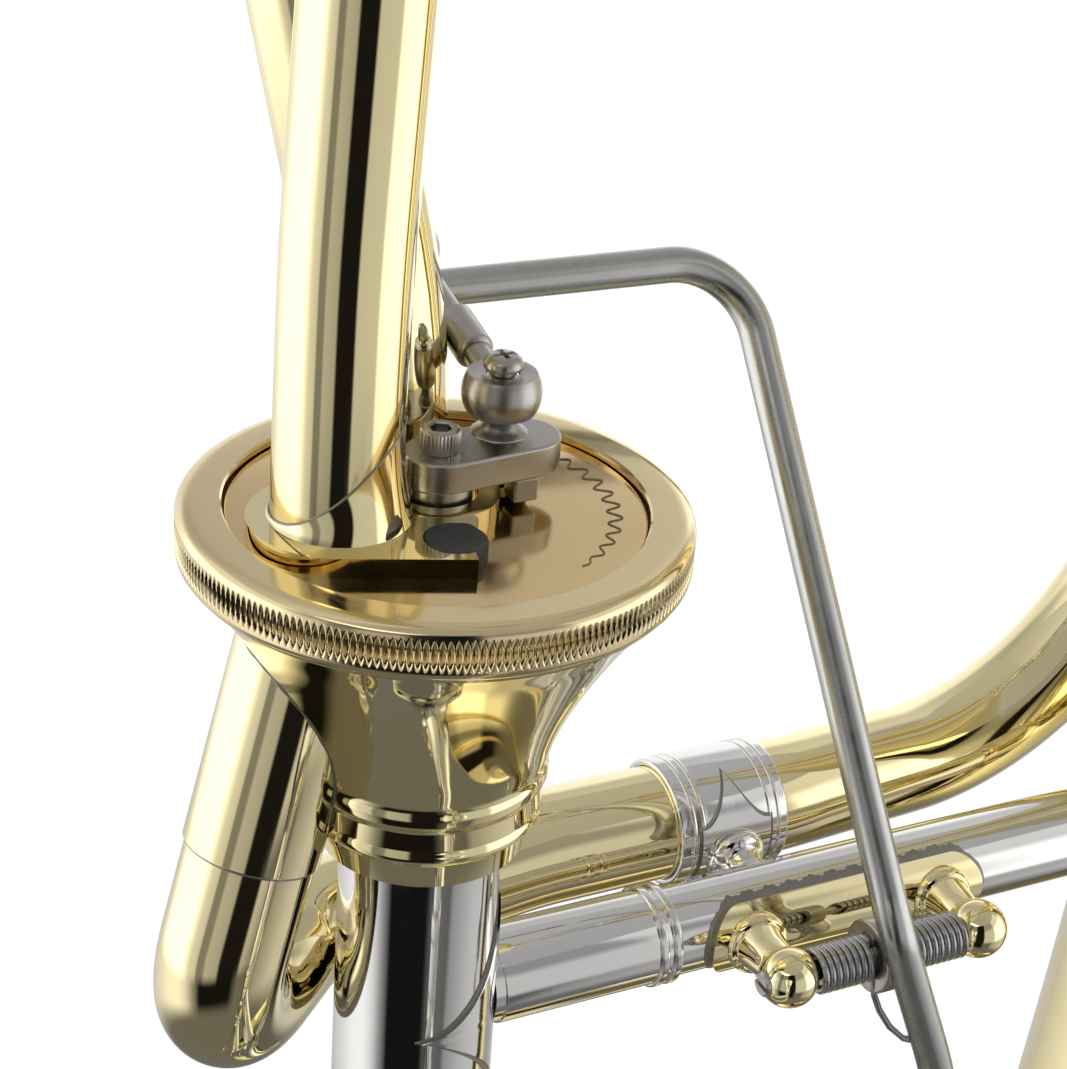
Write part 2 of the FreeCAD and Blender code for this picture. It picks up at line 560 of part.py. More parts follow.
# ---------------------------------------------------------------- trigger
def hinge_saddle():
    """Brass saddle on the crossbar with two tapered posts that end in balls."""
    thick, half_h = 1.1, 4.7
    a, b = V(HINGE_X0 - 1, 0, CROSSBAR_Z), V(HINGE_X1 + 3, 0, CROSSBAR_Z)
    shell = bar(a - ACROSS * 9, b + ACROSS * 9, CROSSBAR_R + thick, CROSSBAR_R)
    pill = joined([box(a.x, b.x, -12, 0, CROSSBAR_Z - half_h, CROSSBAR_Z + half_h)]
                  + [bar(p - AWAY * 12, p, half_h) for p in (a, b)])
    body = shell.common(pill)
    solid_bar = bar(a - ACROSS * 9, b + ACROSS * 9, CROSSBAR_R)
    for x in (HINGE_X0, HINGE_X1):
        ball, foot = V(x, HINGE_Y, HINGE_Z), V(x + 1.0, -CROSSBAR_R + 0.6, CROSSBAR_Z)
        run = (ball - foot).normalize()
        length = (ball - foot).Length - HINGE_BALL_R / 2
        post = turned([(0, 0), (4.4, 0), (4.4, 2.3), (3.4, 2.9), (2.7, length), (0, length)],
                      foot, run).cut(solid_bar)
        body = body.fuse(post).fuse(Part.makeSphere(HINGE_BALL_R, ball, ACROSS))
    axle = bar(V(HINGE_X0 - 9, HINGE_Y, HINGE_Z), V(HINGE_X1 + 9, HINGE_Y, HINGE_Z), HINGE_SCREW_R)
    head = bar(V(HINGE_X0 - 9, HINGE_Y, HINGE_Z), V(HINGE_X0 - 3.0, HINGE_Y, HINGE_Z), 1.8)
    return body.cut(axle).cut(head).Solids[0]


def hinge_screw():
    """Slotted screw through both balls; its plain middle is the trigger's axle."""
    x0, x1 = HINGE_X0 - HINGE_BALL_R - 0.3, HINGE_X1 + HINGE_BALL_R - 0.4
    head = bar(V(x0, HINGE_Y, HINGE_Z), V(HINGE_X0 - 3.0, HINGE_Y, HINGE_Z), 1.8)
    body = joined([head, bar(V(x0, HINGE_Y, HINGE_Z), V(x1, HINGE_Y, HINGE_Z), HINGE_SCREW_R)])
    slot = box(x0 - 1, x0 + 0.6, HINGE_Y - 3, HINGE_Y + 3, HINGE_Z - 0.35, HINGE_Z + 0.35)
    return one_solid(body.cut(slot))


def trigger_hub():
    """Tube that turns on the hinge screw, with a disc beside the lever rod."""
    x0, x1 = HINGE_X0 + HINGE_BALL_R + GAP, HINGE_X1 - HINGE_BALL_R - GAP
    tube = bar(V(x0, HINGE_Y, HINGE_Z), V(x1, HINGE_Y, HINGE_Z), HUB_R, HINGE_SCREW_R + RUN)
    cheek = bar(V(HUB_X0, HINGE_Y, HINGE_Z), V(HUB_X1, HINGE_Y, HINGE_Z), HUB_DISC_R, HUB_R)
    return one_solid(joined([tube, cheek]).cut(lever_rod()))


LEVER_ROUTE = [V(FAR_BALL.x, FAR_BALL.y, ROD_END_Z), V(57.0, 31.5, 11.4), V(57.8, -21.6, -60.4),
               V(67.6, -22.0, -85.0), V(74.0, -23.6, -107.0)]


def lever_rod():
    return bent(LEVER_ROUTE, [11.0, 12.0, 60.0], ROD_R)


def trigger_lever():
    """Bent rod of the trigger, with the boss and ball at its upper end."""
    top = LEVER_ROUTE[0]
    boss = bar(top - UP * 2.6, top + UP * 2.6, 3.6)
    neck = bar(top, FAR_BALL, STUD_R)
    pan = turned([(0, 0), (1.0, 0), (1.0, 1.4), (2.0, 1.4), (1.5, 2.3), (0, 2.6)],
                 FAR_BALL + UP * (FAR_BALL_R - 0.2))
    return joined([lever_rod(), boss, neck, Part.makeSphere(FAR_BALL_R, FAR_BALL), pan])


def thumb_paddle():
    """Oval pad for the left thumb at the lower end of the lever."""
    half_long, radius, half_thick = 5.5, 8.5, 1.0
    along = (LEVER_ROUTE[-1] - LEVER_ROUTE[-2]).normalize()
    pad = obround(V(-half_long, 0, 0), V(half_long, 0, 0), radius, -half_thick, half_thick)
    pad.Placement = FreeCAD.Placement(LEVER_ROUTE[-1] - along * 4 - AWAY * (ROD_R + half_thick - 0.7),
                                      FreeCAD.Rotation(V(1, 0, 0), V(0, 0, -1), V(0, 1, 0), "XZY"))
    return one_solid(pad.cut(lever_rod()))


def trigger_springs():
    """Two torsion springs on the hub, drawn as closed rings of wire side by side."""
    wire, coil_r = 0.46, 2.8
    left_count, right_count = 8, 7
    pitch = 2 * wire + 0.02
    rings = []
    for first, count in ((HUB_X0 - 0.3 - wire - (left_count - 1) * pitch, left_count),
                         (HUB_X1 + 3.9, right_count)):
        for i in range(count):
            centre = V(first + i * pitch, HINGE_Y, HINGE_Z)
            rings.append(Part.makeTorus(coil_r, wire, centre, ACROSS))
    return group(rings)


# ---------------------------------------------------------------- hand slide
def lock_nut():
    floor_z, top_z = TENON_END + 3.0, RECEIVER_END - GAP
    return turned([(TENON_R + RUN, floor_z), (NUT_R - 1.2, floor_z), (NUT_R, floor_z + 1.2),
                   (NUT_R, top_z - 0.8), (NUT_R - 0.8, top_z), (THREAD_R + RUN, top_z),
                   (THREAD_R + RUN, floor_z + 1.6), (TENON_R + RUN, floor_z + 1.6)])


def slide_tenon():
    """Tenon of the hand slide inside the receiver, with the collar that the nut pulls on."""
    collar_low, collar_top = TENON_END + 3.0 + 1.6 + GAP, THREAD_END - 0.1
    return turned([(INNER_R, TENON_END), (TENON_R, TENON_END), (TENON_R, collar_low),
                   (THREAD_R - 0.2, collar_low), (THREAD_R - 0.2, collar_top),
                   (TENON_R, collar_top), (TENON_R, TENON_TOP), (INNER_R, TENON_TOP)])


def inner_tubes():
    tops = ((0.0, TENON_TOP), (SLIDE_Y, MOUTH_RECEIVER_TOP - 3.0))
    return [upright(0, y, INNER_END_Z, top, INNER_R, INNER_R - 0.25) for y, top in tops]


def stockings():
    """Slightly wider ends of the inner slide tubes, which rub in the outer slide."""
    return [upright(0, y, INNER_END_Z, INNER_END_Z + STOCKING_LENGTH, STOCKING_R, INNER_R)
            for y in (0.0, SLIDE_Y)]


def leadpipe():
    """Tapered tube inside the mouthpiece side's inner tube, from the shank's end down."""
    outer, top, end = INNER_R - 0.25, SHANK_END_Z - GAP, SHANK_END_Z - 200
    return turned([(outer - 0.3, end), (outer, end), (outer, top), (outer - 0.9, top)],
                  V(0, SLIDE_Y, 0))


def cork_barrels():
    """Barrels that the outer slide's ends enter; their upper ends close on the inner tubes."""
    barrels = []
    for y in (0.0, SLIDE_Y):
        profile = [(BARREL_IN_R, BARREL_END_Z), (BARREL_R, BARREL_END_Z), (BARREL_R, -139.0),
                   (BARREL_R - 0.8, BARREL_TOP_Z), (INNER_R, BARREL_TOP_Z), (INNER_R, -138.5),
                   (BARREL_IN_R, -138.5)]
        barrels.append(turned(profile, V(0, y, 0)))
    return group(barrels)


def grip(z, tube_r):
    """Brace across the two tubes of the hand slide, with a saddle sleeve at each end."""
    half, radius = 10.5, GRIP_R
    pieces = [bar(V(0, SLIDE_Y, z), V(0, 0, z), radius)]
    for y, way in ((0, AWAY * -1), (SLIDE_Y, AWAY)):
        pieces.append(ferrule(V(0, y, z - half), V(0, 0, 1), 2 * half, tube_r + 1.1, tube_r, 0.5))
        pieces.append(turned([(0, 0), (radius + 1.4, 0), (radius + 1.4, tube_r + 3),
                              (radius, tube_r + 5), (0, tube_r + 5)], V(0, y, z), way))
    body = joined(pieces).cut(bar(V(0, SLIDE_Y, z), V(0, 0, z), radius - 1.0))
    for y in (0, SLIDE_Y):
        body = body.cut(upright(0, y, z - 20, z + 20, tube_r))
    return one_solid(body)


def mouthpiece_receiver():
    top, end = MOUTH_RECEIVER_TOP, MOUTH_RECEIVER_END
    return turned([(INNER_R, end), (8.0, end), (8.4, end + 1), (8.7, top - 6), (9.5, top - 5),
                   (9.5, top - 0.8), (8.8, top), (INNER_R + 0.05, top), (INNER_R, top - 3)],
                  V(0, SLIDE_Y, 0))


def mouthpiece():
    """Cup mouthpiece: rim, cup, throat, backbore and a shank that stands in the receiver."""
    shank, end = INNER_R - 0.25 - RUN, SHANK_END_Z - MOUTH_TOP_Z
    profile = [(5.3, end), (6.2, end), (shank, -61), (6.9, -54), (6.7, -48), (7.6, -40),
               (10.2, -31), (13.6, -24), (16.0, -16), (17.4, -8), (18.6, -5.4), (19.4, -3.6),
               (19.5, -2.2), (18.6, -0.6), (16.8, 0), (14.4, -0.7), (13.0, -2.4), (12.9, -8),
               (11.4, -15), (8.4, -22), (5.0, -27), (3.4, -30), (3.4, -34), (4.4, -50)]
    return turned(profile, V(0, SLIDE_Y, MOUTH_TOP_Z))


def slide_lock():
    """Ring on the mouthpiece side's barrel that turns to catch a pin of the outer slide."""
    z0, height, knob_r = BARREL_END_Z - 3.0, 11.0, 2.4
    ring_r = BARREL_R + 1.5
    ring = ferrule(V(0, SLIDE_Y, z0), V(0, 0, 1), height, ring_r, BARREL_R + RUN, 0.5)
    knob = Part.makeSphere(knob_r, V(0, SLIDE_Y - ring_r - knob_r + 1.0, z0 + height / 2))
    bore = upright(0, SLIDE_Y, z0 - 3, z0 + height + 9, BARREL_R + RUN)
    return one_solid(joined([ring, knob]).cut(bore))


def outer_tubes():
    return group([upright(0, y, BOW_Z, OUTER_TOP_Z, OUTER_R, OUTER_IN_R) for y in (0.0, SLIDE_Y)])


def bow_arc(outer, inner=0.0):
    """Half circle below the outer slide tubes."""
    arc = disc(V(0, 0, BOW_Z), UP, outer, inner)
    return arc.revolve(V(0, SLIDE_Y / 2, BOW_Z), ACROSS, -180)


def slide_bow():
    return bow_arc(SLIDE_BOW_R, SLIDE_BOW_R - 0.6)


def bow_sleeves():
    """Ferrules that join the outer tubes to the bow, with a band at each end."""
    height, below = 26.0, 4.0
    sleeves = []
    for y in (0.0, SLIDE_Y):
        base = V(0, y, BOW_Z - below)
        parts = [ferrule(base, V(0, 0, 1), height, SLIDE_BOW_R + 0.6, OUTER_R, 0.3),
                 ferrule(base, V(0, 0, 1), 5.0, SLIDE_BOW_R + 1.2, OUTER_R, 0.5)]
        ring = joined(parts).cut(bow_arc(SLIDE_BOW_R))
        sleeves.append(max(ring.Solids, key=lambda solid: solid.Volume))
    return group(sleeves)


def slide_bumper():
    """Rubber foot at the end of the slide bow."""
    low = V(0, SLIDE_Y / 2, BOW_Z + SLIDE_Y / 2 - SLIDE_BOW_R)
    body = turned([(0, -9), (4.5, -9), (6.0, -7.5), (6.0, -1), (5.0, 3), (0, 3)], low)
    return max(body.cut(bow_arc(SLIDE_BOW_R)).Solids, key=lambda solid: solid.Volume)


# ---------------------------------------------------------------- water key on the slide bow
KEY_ANGLE = math.radians(30)      # place of the drain hole round the bow, from the low point
KEY_OUT = V(0, math.sin(KEY_ANGLE), -math.cos(KEY_ANGLE))
KEY_ALONG = V(0, math.cos(KEY_ANGLE), math.sin(KEY_ANGLE))
KEY_HOLE = V(0, SLIDE_Y / 2, BOW_Z) + KEY_OUT * (-SLIDE_Y / 2)
KEY_SIDE = V(-1, 0, 0)            # the key lies on the bow's -X side
KEY_LIFT = SLIDE_BOW_R + 4.6      # height of the lever over the bow's centre line
KEY_PIVOT = KEY_HOLE + KEY_SIDE * KEY_LIFT + KEY_ALONG * 14
KEY_PIN_R, KEY_HUB_R = 0.8, 2.0


def key_nipple():
    """Short drain pipe on the side of the bow."""
    foot, mouth = KEY_HOLE + KEY_SIDE * (SLIDE_BOW_R - 1), KEY_HOLE + KEY_SIDE * (SLIDE_BOW_R + 1.6)
    return one_solid(bar(foot, mouth, 3.2, 2.0).cut(bow_arc(SLIDE_BOW_R)))


def key_posts():
    """Two lugs soldered to the bow that hold the water key's pin."""
    body = bar(KEY_PIVOT - KEY_OUT * 4.4, KEY_PIVOT + KEY_OUT * 4.4, KEY_PIN_R)
    for side in (-1, 1):
        start = KEY_PIVOT + KEY_OUT * (side * 3.2)
        lug = bar(start - KEY_OUT * 0.8, start + KEY_OUT * 0.8, 2.2)
        stem = bar(start, start - KEY_SIDE * 7.5, 0.7).cut(bow_arc(SLIDE_BOW_R))
        stem = max(stem.Solids, key=lambda solid: solid.Volume)
        body = body.fuse(lug).fuse(stem)
    return body.Solids[0]


def key_lever():
    """Water key: cup over the drain, hub on the pin, and a finger plate."""
    rod_r, rod_lift = 1.2, 0.85
    cup_at = KEY_HOLE + KEY_SIDE * KEY_LIFT
    tail_end = KEY_PIVOT + KEY_ALONG * 16 + KEY_SIDE * 3
    pieces = [bar(cup_at - KEY_SIDE * 0.4, cup_at + KEY_SIDE * 1.2, 4.0),
              bar(cup_at + KEY_SIDE * rod_lift, KEY_PIVOT + KEY_SIDE * rod_lift, rod_r),
              bar(KEY_PIVOT + KEY_SIDE * rod_lift, tail_end, rod_r),
              bar(tail_end - KEY_SIDE * 0.8, tail_end + KEY_SIDE * 1.2, 3.6),
              bar(KEY_PIVOT - KEY_OUT * 2.1, KEY_PIVOT + KEY_OUT * 2.1, KEY_HUB_R)]
    pin_way = bar(KEY_PIVOT - KEY_OUT * 9, KEY_PIVOT + KEY_OUT * 9, KEY_PIN_R + RUN)
    return one_solid(joined(pieces).cut(pin_way))


def key_cork():
    mouth, seat = KEY_SIDE * (SLIDE_BOW_R + 1.6 + RUN), KEY_SIDE * (KEY_LIFT - 0.4)
    return bar(KEY_HOLE + mouth, KEY_HOLE + seat, 3.4)


# ---------------------------------------------------------------- export
def save(name, shape):
    moved = shape.copy()
    moved.translate(ORIGIN * -1)
    moved.exportStep("parts/" + name + ".step")


def level_strut(a, ra, b, rb, z, radius, flange_r):
    """Brace at height z between two upright tubes of outer radius ra and rb."""
    p, q = a + UP * z, b + UP * z
    run = (q - p).normalize()
    trim = [bar(c - UP * 20, c + UP * 20, r) for c, r in ((p, ra), (q, rb))]
    return strut(p + run * (ra - 1), q - run * (rb - 1), radius, flange_r, trim)


MAIN_LEGS = [(MAIN_LEG, TUBE_R), (BELL_LEG, BELL_LEG_R)]
LOOP_LEGS = [(LOOP_LEFT, LOOP_R), (LOOP_RIGHT, LOOP_R)]
BOW_RADII, LOOP_BOW_RADII = (TUBE_R, BELL_LEG_R - 0.2), (LOOP_R, LOOP_R)


def bell_section():
    save("bell", bell())
    save("bell_foot", bell_foot())
    save("slide_receiver", slide_receiver())
    save("receiver_flange", receiver_flange())
    save("crossbar", crossbar())
    save("crossbar_sleeve", crossbar_sleeve())
    save("main_tube", main_tube())
    save("loop_out_tube", loop_out_tube())
    save("side_tube", side_tube())
    save("return_crook", return_crook())
    save("return_ferrule", return_ferrule())
    save("loop_bend", loop_bend())
    save("return_post", return_post())


def valve():
    save("valve_casing", valve_casing())
    save("valve_ring", valve_ring())
    save("valve_plate", valve_plate())
    save("rotor_bearings", group([front_bearing(), rear_bearing()]))
    save("stop_bracket", stop_bracket())
    save("rubber_stops", rubber_stops())
    save("rotor", rotor())
    save("rotor_spindle", rotor_spindle())
    save("lever_arm", lever_arm())
    save("arm_screw", arm_screw())
    save("ball_stud", ball_stud())
    save("link_ball", link_ball())
    save("link_rod", link())


def trigger():
    save("hinge_saddle", hinge_saddle())
    save("hinge_screw", hinge_screw())
    save("trigger_hub", trigger_hub())
    save("trigger_lever", trigger_lever())
    save("thumb_paddle", thumb_paddle())
    save("trigger_springs", trigger_springs())


def tuning_slides():
    sleeve, mouth = SLEEVE_WALL, SLEEVE_TOP_Z + 4.5
    main_ring, bell_ring, loop_ring = TUBE_R + 0.9, BELL_LEG_R + 0.9, LOOP_R + 0.9
    save("main_slide_sleeves", slide_sleeves(MAIN_LEGS))
    save("loop_slide_sleeves", slide_sleeves(LOOP_LEGS))
    loop_z = SLEEVE_FOOT_Z + 30
    save("body_braces", group([
        level_strut(MAIN_LEG, TUBE_R + sleeve, BELL_LEG, BELL_LEG_R + sleeve, SLEEVE_FOOT_Z + 14, 3.0, 5.2),
        level_strut(LOOP_LEFT, LOOP_R + sleeve, MAIN_LEG, TUBE_R + sleeve, loop_z, 2.2, 4.0),
        level_strut(LOOP_RIGHT, LOOP_R + sleeve, BELL_LEG, BELL_LEG_R + sleeve, loop_z, 2.2, 3.6)]))
    save("main_slide_legs", slide_legs(MAIN_LEGS))
    save("main_slide_ferrules", bow_ferrules(MAIN_LEGS, BOW_RADII))
    save("main_slide_bow", tapered_bow(MAIN_LEG, BELL_LEG, BOW_RADII[0], BOW_RADII[1], 0.6))
    save("main_slide_brace", level_strut(MAIN_LEG, main_ring, BELL_LEG, bell_ring, mouth, 2.4, 3.8))
    save("loop_slide_legs", slide_legs(LOOP_LEGS))
    save("loop_slide_ferrules", bow_ferrules(LOOP_LEGS, LOOP_BOW_RADII))
    save("loop_slide_bow", tapered_bow(LOOP_LEFT, LOOP_RIGHT, LOOP_R, LOOP_R, 0.6))
    save("loop_slide_brace", level_strut(LOOP_LEFT, loop_ring, LOOP_RIGHT, loop_ring, mouth, 2.4, 3.8))


def hand_slide():
    save("lock_nut", lock_nut())
    save("slide_tenon", slide_tenon())
    save("inner_tubes", group(inner_tubes() + stockings()))
    save("leadpipe", leadpipe())
    save("cork_barrels", cork_barrels())
    save("upper_grip", grip(GRIP_Z, INNER_R))
    save("mouthpiece_receiver", mouthpiece_receiver())
    save("mouthpiece", mouthpiece())
    save("slide_lock", slide_lock())
    save("outer_tubes", outer_tubes())
    save("lower_grip", grip(LOWER_GRIP_Z, OUTER_R))
    save("slide_bow", slide_bow())
    save("bow_sleeves", bow_sleeves())
    save("slide_bumper", slide_bumper())
    save("key_posts", group([key_nipple(), key_posts()]))
    save("key_lever", key_lever())
    save("key_cork", key_cork())


os.makedirs("parts", exist_ok=True)
bell_section()
valve()
trigger()
tuning_slides()
hand_slide()
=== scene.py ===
from math import asin, atan2, ceil, cos, degrees, hypot, pi, radians, sin, sqrt, tan

import bmesh
import bpy
from mathutils import Matrix, Vector


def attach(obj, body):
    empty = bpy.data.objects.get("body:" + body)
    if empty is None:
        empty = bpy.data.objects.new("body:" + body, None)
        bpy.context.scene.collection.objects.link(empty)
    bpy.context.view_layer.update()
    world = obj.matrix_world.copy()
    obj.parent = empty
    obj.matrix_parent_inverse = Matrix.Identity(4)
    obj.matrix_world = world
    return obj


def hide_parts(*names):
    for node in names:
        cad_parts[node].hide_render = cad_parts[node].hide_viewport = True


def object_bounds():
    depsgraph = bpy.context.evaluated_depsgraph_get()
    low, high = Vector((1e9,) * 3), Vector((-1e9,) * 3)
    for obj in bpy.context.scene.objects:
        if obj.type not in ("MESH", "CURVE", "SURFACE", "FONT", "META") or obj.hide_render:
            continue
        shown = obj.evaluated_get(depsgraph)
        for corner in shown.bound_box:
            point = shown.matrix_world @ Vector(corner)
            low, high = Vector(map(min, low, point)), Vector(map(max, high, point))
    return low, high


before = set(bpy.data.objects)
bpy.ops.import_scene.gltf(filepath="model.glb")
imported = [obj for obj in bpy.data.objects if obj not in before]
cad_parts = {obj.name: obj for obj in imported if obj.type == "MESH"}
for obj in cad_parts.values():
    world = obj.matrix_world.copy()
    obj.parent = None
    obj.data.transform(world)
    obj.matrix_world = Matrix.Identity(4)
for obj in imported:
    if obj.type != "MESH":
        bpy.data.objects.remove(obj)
cad_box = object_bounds()

# Looks of the trombone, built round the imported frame.  Lengths below are millimetres from the
# centre of the valve ring's top face, as in the CAD source; place() turns them into the frame.
# The rim and the tuning bows are a hair smaller than in the CAD, to stay inside its box.
BELL_X, RIM_R, RIM_Z = 130.0, 107.98, -335.0
FLARE_LENGTH, FLARE_POWER, BELL_WALL = 48.0, 0.998, 0.7
TUBE_R, LOOP_R = 7.4, 8.0
OUTLET, OUTLET_TOP = Vector((-13.4, -1.6, 0)), Vector((-12.6, -1.0, 32))
CROSSBAR_Z, CROSSBAR_R = -70.6, 6.15
RECEIVER_R = 10.04
HINGE_Y, HINGE_Z = -16.6, -69.0
HINGE_X0, HINGE_X1 = 46.0, 75.6
HINGE, CROSSBAR = Vector((0, HINGE_Y, HINGE_Z)), Vector((0, 0, CROSSBAR_Z))
RETURN_Y, RETURN_Z = 18.8, -67.0
FERRULE_X0, FERRULE_X1 = 44.5, 61.5
MAIN_LEG, BELL_LEG = Vector((-8.0, 0, 0)), Vector((BELL_X, 0, 0))
LOOP_LEFT, LOOP_RIGHT = Vector((-21.9, 20.6, 0)), Vector((135.0, 28.0, 0))
BELL_LEG_R, SLEEVE_WALL = 10.35, 0.6
SLEEVE_FOOT_Z, SLEEVE_TOP_Z, LEG_FOOT_Z, BOW_START_Z, BOW_INSET = 128.0, 214.0, 134.0, 224.0, 0.04
SLIDE_Y, BOW_Z, SLIDE_BOW_R = -88.0, -816.0, 8.3
NEAR_BALL, FAR_BALL = Vector((8.6, 2.4, 11.6)), Vector((8.8, 31.5, 18.0))
BALL_R, FAR_BALL_R, FAR_PLAY, EYE_HALF, EYE_R = 2.9, 2.0, 1.15, 2.4, 4.7
ROD_R, STUD_R = 2.38, 1.2
CASE_PROFILE = [(28.6, -7.0), (25.2, -11.5), (21.4, -17.5), (18.2, -23.5), (16.1, -28.5), (14.9, -32.8)]
CASE_BANDS = [(14.9, -33.4), (15.1, -34.2), (15.1, -35.4), (14.3, -36.3), (14.3, -39.2),
              (14.6, -39.8), (14.6, -40.6), (13.3, -41.6), (12.8, -45.0)]
ZERO, UP, ACROSS, AWAY = Vector((0, 0, 0)), Vector((0, 0, 1)), Vector((1, 0, 0)), Vector((0, 1, 0))


def place(point):
    """A point in millimetres from the valve, as a point of the frame."""
    return (Vector(point) - Vector((BELL_X, 0, RIM_Z))) * 0.001


# ---------------------------------------------------------------- mesh helpers
def add_object(name, data):
    obj = bpy.data.objects.new(name, data)
    bpy.context.scene.collection.objects.link(obj)
    return obj


def face_outwards(mesh, merge=False):
    """Turns a mesh's faces outwards, after merging doubled vertices where asked."""
    tidy = bmesh.new()
    tidy.from_mesh(mesh)
    if merge:
        bmesh.ops.remove_doubles(tidy, verts=tidy.verts, dist=2e-6)
        bmesh.ops.dissolve_degenerate(tidy, edges=tidy.edges, dist=1e-6)
    bmesh.ops.recalc_face_normals(tidy, faces=tidy.faces)
    tidy.to_mesh(mesh)
    tidy.free()


class Shape:
    """Vertices, in millimetres, and faces of one piece while it is being made."""

    def __init__(self, verts=(), faces=()):
        self.verts = list(verts)
        self.faces = [tuple(f) for f in faces]

    def __add__(self, other):
        shift = len(self.verts)
        moved = [tuple(i + shift for i in f) for f in other.faces]
        return Shape(self.verts + other.verts, self.faces + moved)


def piece(name, shape, material, nodes=(), body="instrument", slot=None, sharp=32.0, bevel=0.0):
    """Turns a Shape into a smooth-shaded object that rides on a body.

    Its slot is worked out from its material, unless another is named, but is not used.
    """
    mesh = bpy.data.meshes.new(name)
    mesh.from_pydata([place(v) for v in shape.verts], [], shape.faces)
    face_outwards(mesh, merge=True)
    for polygon in mesh.polygons:
        polygon.use_smooth = True
    mesh.set_sharp_from_angle(angle=radians(sharp))
    obj = add_object(name, mesh)
    mesh.materials.append(material)
    if bevel > 0:
        edge = obj.modifiers.new("edge", "BEVEL")
        edge.width = bevel * 0.001
        edge.segments = 4
        edge.limit_method = "ANGLE"
        edge.angle_limit = radians(40)
        edge.harden_normals = True
    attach(obj, body)
    if nodes:
        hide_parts(*nodes)
    slot = slot or SLOTS.get(material)


def basis(along):
    """Two unit vectors square to a direction."""
    along = along.normalized()
    side = ACROSS if abs(along.x) < 0.9 else AWAY
    u = (side - along * side.dot(along)).normalized()
    return u, along.cross(u)


def rings(loops, closed=False):
    """Skin over a list of vertex loops of equal length; open ends get a cap."""
    n = len(loops[0])
    verts = [v for loop in loops for v in loop]
    faces = []
    count = len(loops)
    for i in range(count if closed else count - 1):
        a, b = i * n, (i + 1) % count * n
        faces += [(a + j, a + (j + 1) % n, b + (j + 1) % n, b + j) for j in range(n)]
    if not closed:
        faces += [tuple(range(n)), tuple(range((count - 1) * n, count * n))]
    return Shape(verts, faces)


def lathe(levels, base=ZERO, along=UP, steps=160, closed=False):
    """Solid from (radius, height) levels; a radius may be a function of the angle."""
    u, v = basis(along)
    axis = along.normalized()
    loops = []
    for radius, height in levels:
        loop = []
        for j in range(steps):
            angle = 2 * pi * j / steps
            r = radius(angle) if callable(radius) else radius
            loop.append(base + axis * height + (u * cos(angle) + v * sin(angle)) * r)
        loops.append(loop)
    return rings(loops, closed)


def eased(profile, radius=0.25, steps=4, closed=True):
    """A profile with its corners rounded, so that every edge catches the light."""
    count = len(profile)
    points = [Vector(p) for p in profile]
    out = []
    for i, here in enumerate(points):
        if not closed and i in (0, count - 1) or here.x < 0.01:
            out.append(here)
            continue
        before, after = points[i - 1] - here, points[(i + 1) % count] - here
        cut = min(radius, before.length * 0.45, after.length * 0.45)
        start, end = here + before.normalized() * cut, here + after.normalized() * cut
        for k in range(steps + 1):
            t = k / steps
            out.append(start * (1 - t) ** 2 + here * 2 * t * (1 - t) + end * t * t)
    return [(p.x, p.y) for p in out]


def turned(profile, base=ZERO, along=UP, radius=0.25, steps=160):
    """Solid of revolution with eased edges from a closed (radius, height) profile."""
    return lathe(eased(profile, radius), base, along, steps, closed=True)


def ring_profile(height, outer, inner):
    return [(inner, 0), (outer, 0), (outer, height), (inner, height)]


def band(base, along, height, outer, inner, radius=0.4):
    return turned(ring_profile(height, outer, inner), base, along, radius)


def rod(start, end, outer, steps=72):
    return lathe([(outer, 0), (outer, 0.4), (outer, (end - start).length - 0.4),
                  (outer, (end - start).length)], start, end - start, steps)


def ball(centre, radius, low=-90, high=90, steps=72, rows=40):
    angles = [radians(low + (high - low) * i / rows) for i in range(rows + 1)]
    return lathe([(radius * cos(a), radius * sin(a)) for a in angles], centre, UP, steps)


def route(points, radii, step=3.0):
    """Centre line of straight runs joined by tangent arcs, as (point, direction) pairs."""
    points = [Vector(p) for p in points]
    line = []
    start = points[0]
    for before, corner, after, radius in zip(points, points[1:], points[2:], radii):
        into, out = (corner - before).normalized(), (after - corner).normalized()
        turn = into.angle(out)
        cut = radius * tan(turn / 2)
        arc_start = corner - into * cut
        line += straight(start, arc_start)
        axis = into.cross(out).normalized()
        centre = arc_start + axis.cross(into) * radius
        count = max(4, ceil(degrees(turn) / step))
        for i in range(1, count):
            spin = Matrix.Rotation(turn * i / count, 3, axis)
            line.append((centre + spin @ (arc_start - centre), spin @ into))
        start = corner + out * cut
    return line + straight(start, points[-1])


def straight(a, b):
    way = (b - a).normalized()
    inset = min(1.0, (b - a).length / 3)
    return [(a, way), (a + way * inset, way), (b - way * inset, way), (b, way)]


def sweep(line, radius, steps=96):
    """Skin of a round bar along a centre line; the radius may be a function of 0..1."""
    u, v = basis(line[0][1])
    loops = []
    last = line[0][1]
    for i, (point, way) in enumerate(line):
        if last.angle(way, 0) > 1e-6:
            spin = last.rotation_difference(way)
            u, v = spin @ u, spin @ v
        last = way
        r = radius(i / (len(line) - 1)) if callable(radius) else radius
        loops.append([point + (u * cos(a) + v * sin(a)) * r
                      for a in [2 * pi * j / steps for j in range(steps)]])
    return rings(loops)


def headed(path):
    """Each point but the last, with the direction to the next one."""
    return [(a, (b - a).normalized()) for a, b in zip(path, path[1:])]


def half_circle(centre, start, middle, radius, steps):
    """Centre line of a bow, from the unit vector start by way of the unit vector middle."""
    angles = [pi * i / steps for i in range(steps + 1)]
    return [(centre + (start * cos(a) + middle * sin(a)) * radius,
             middle * cos(a) - start * sin(a)) for a in angles]


def pipe(points, radii, radius, steps=96):
    return sweep(route(points, radii), radius, steps)


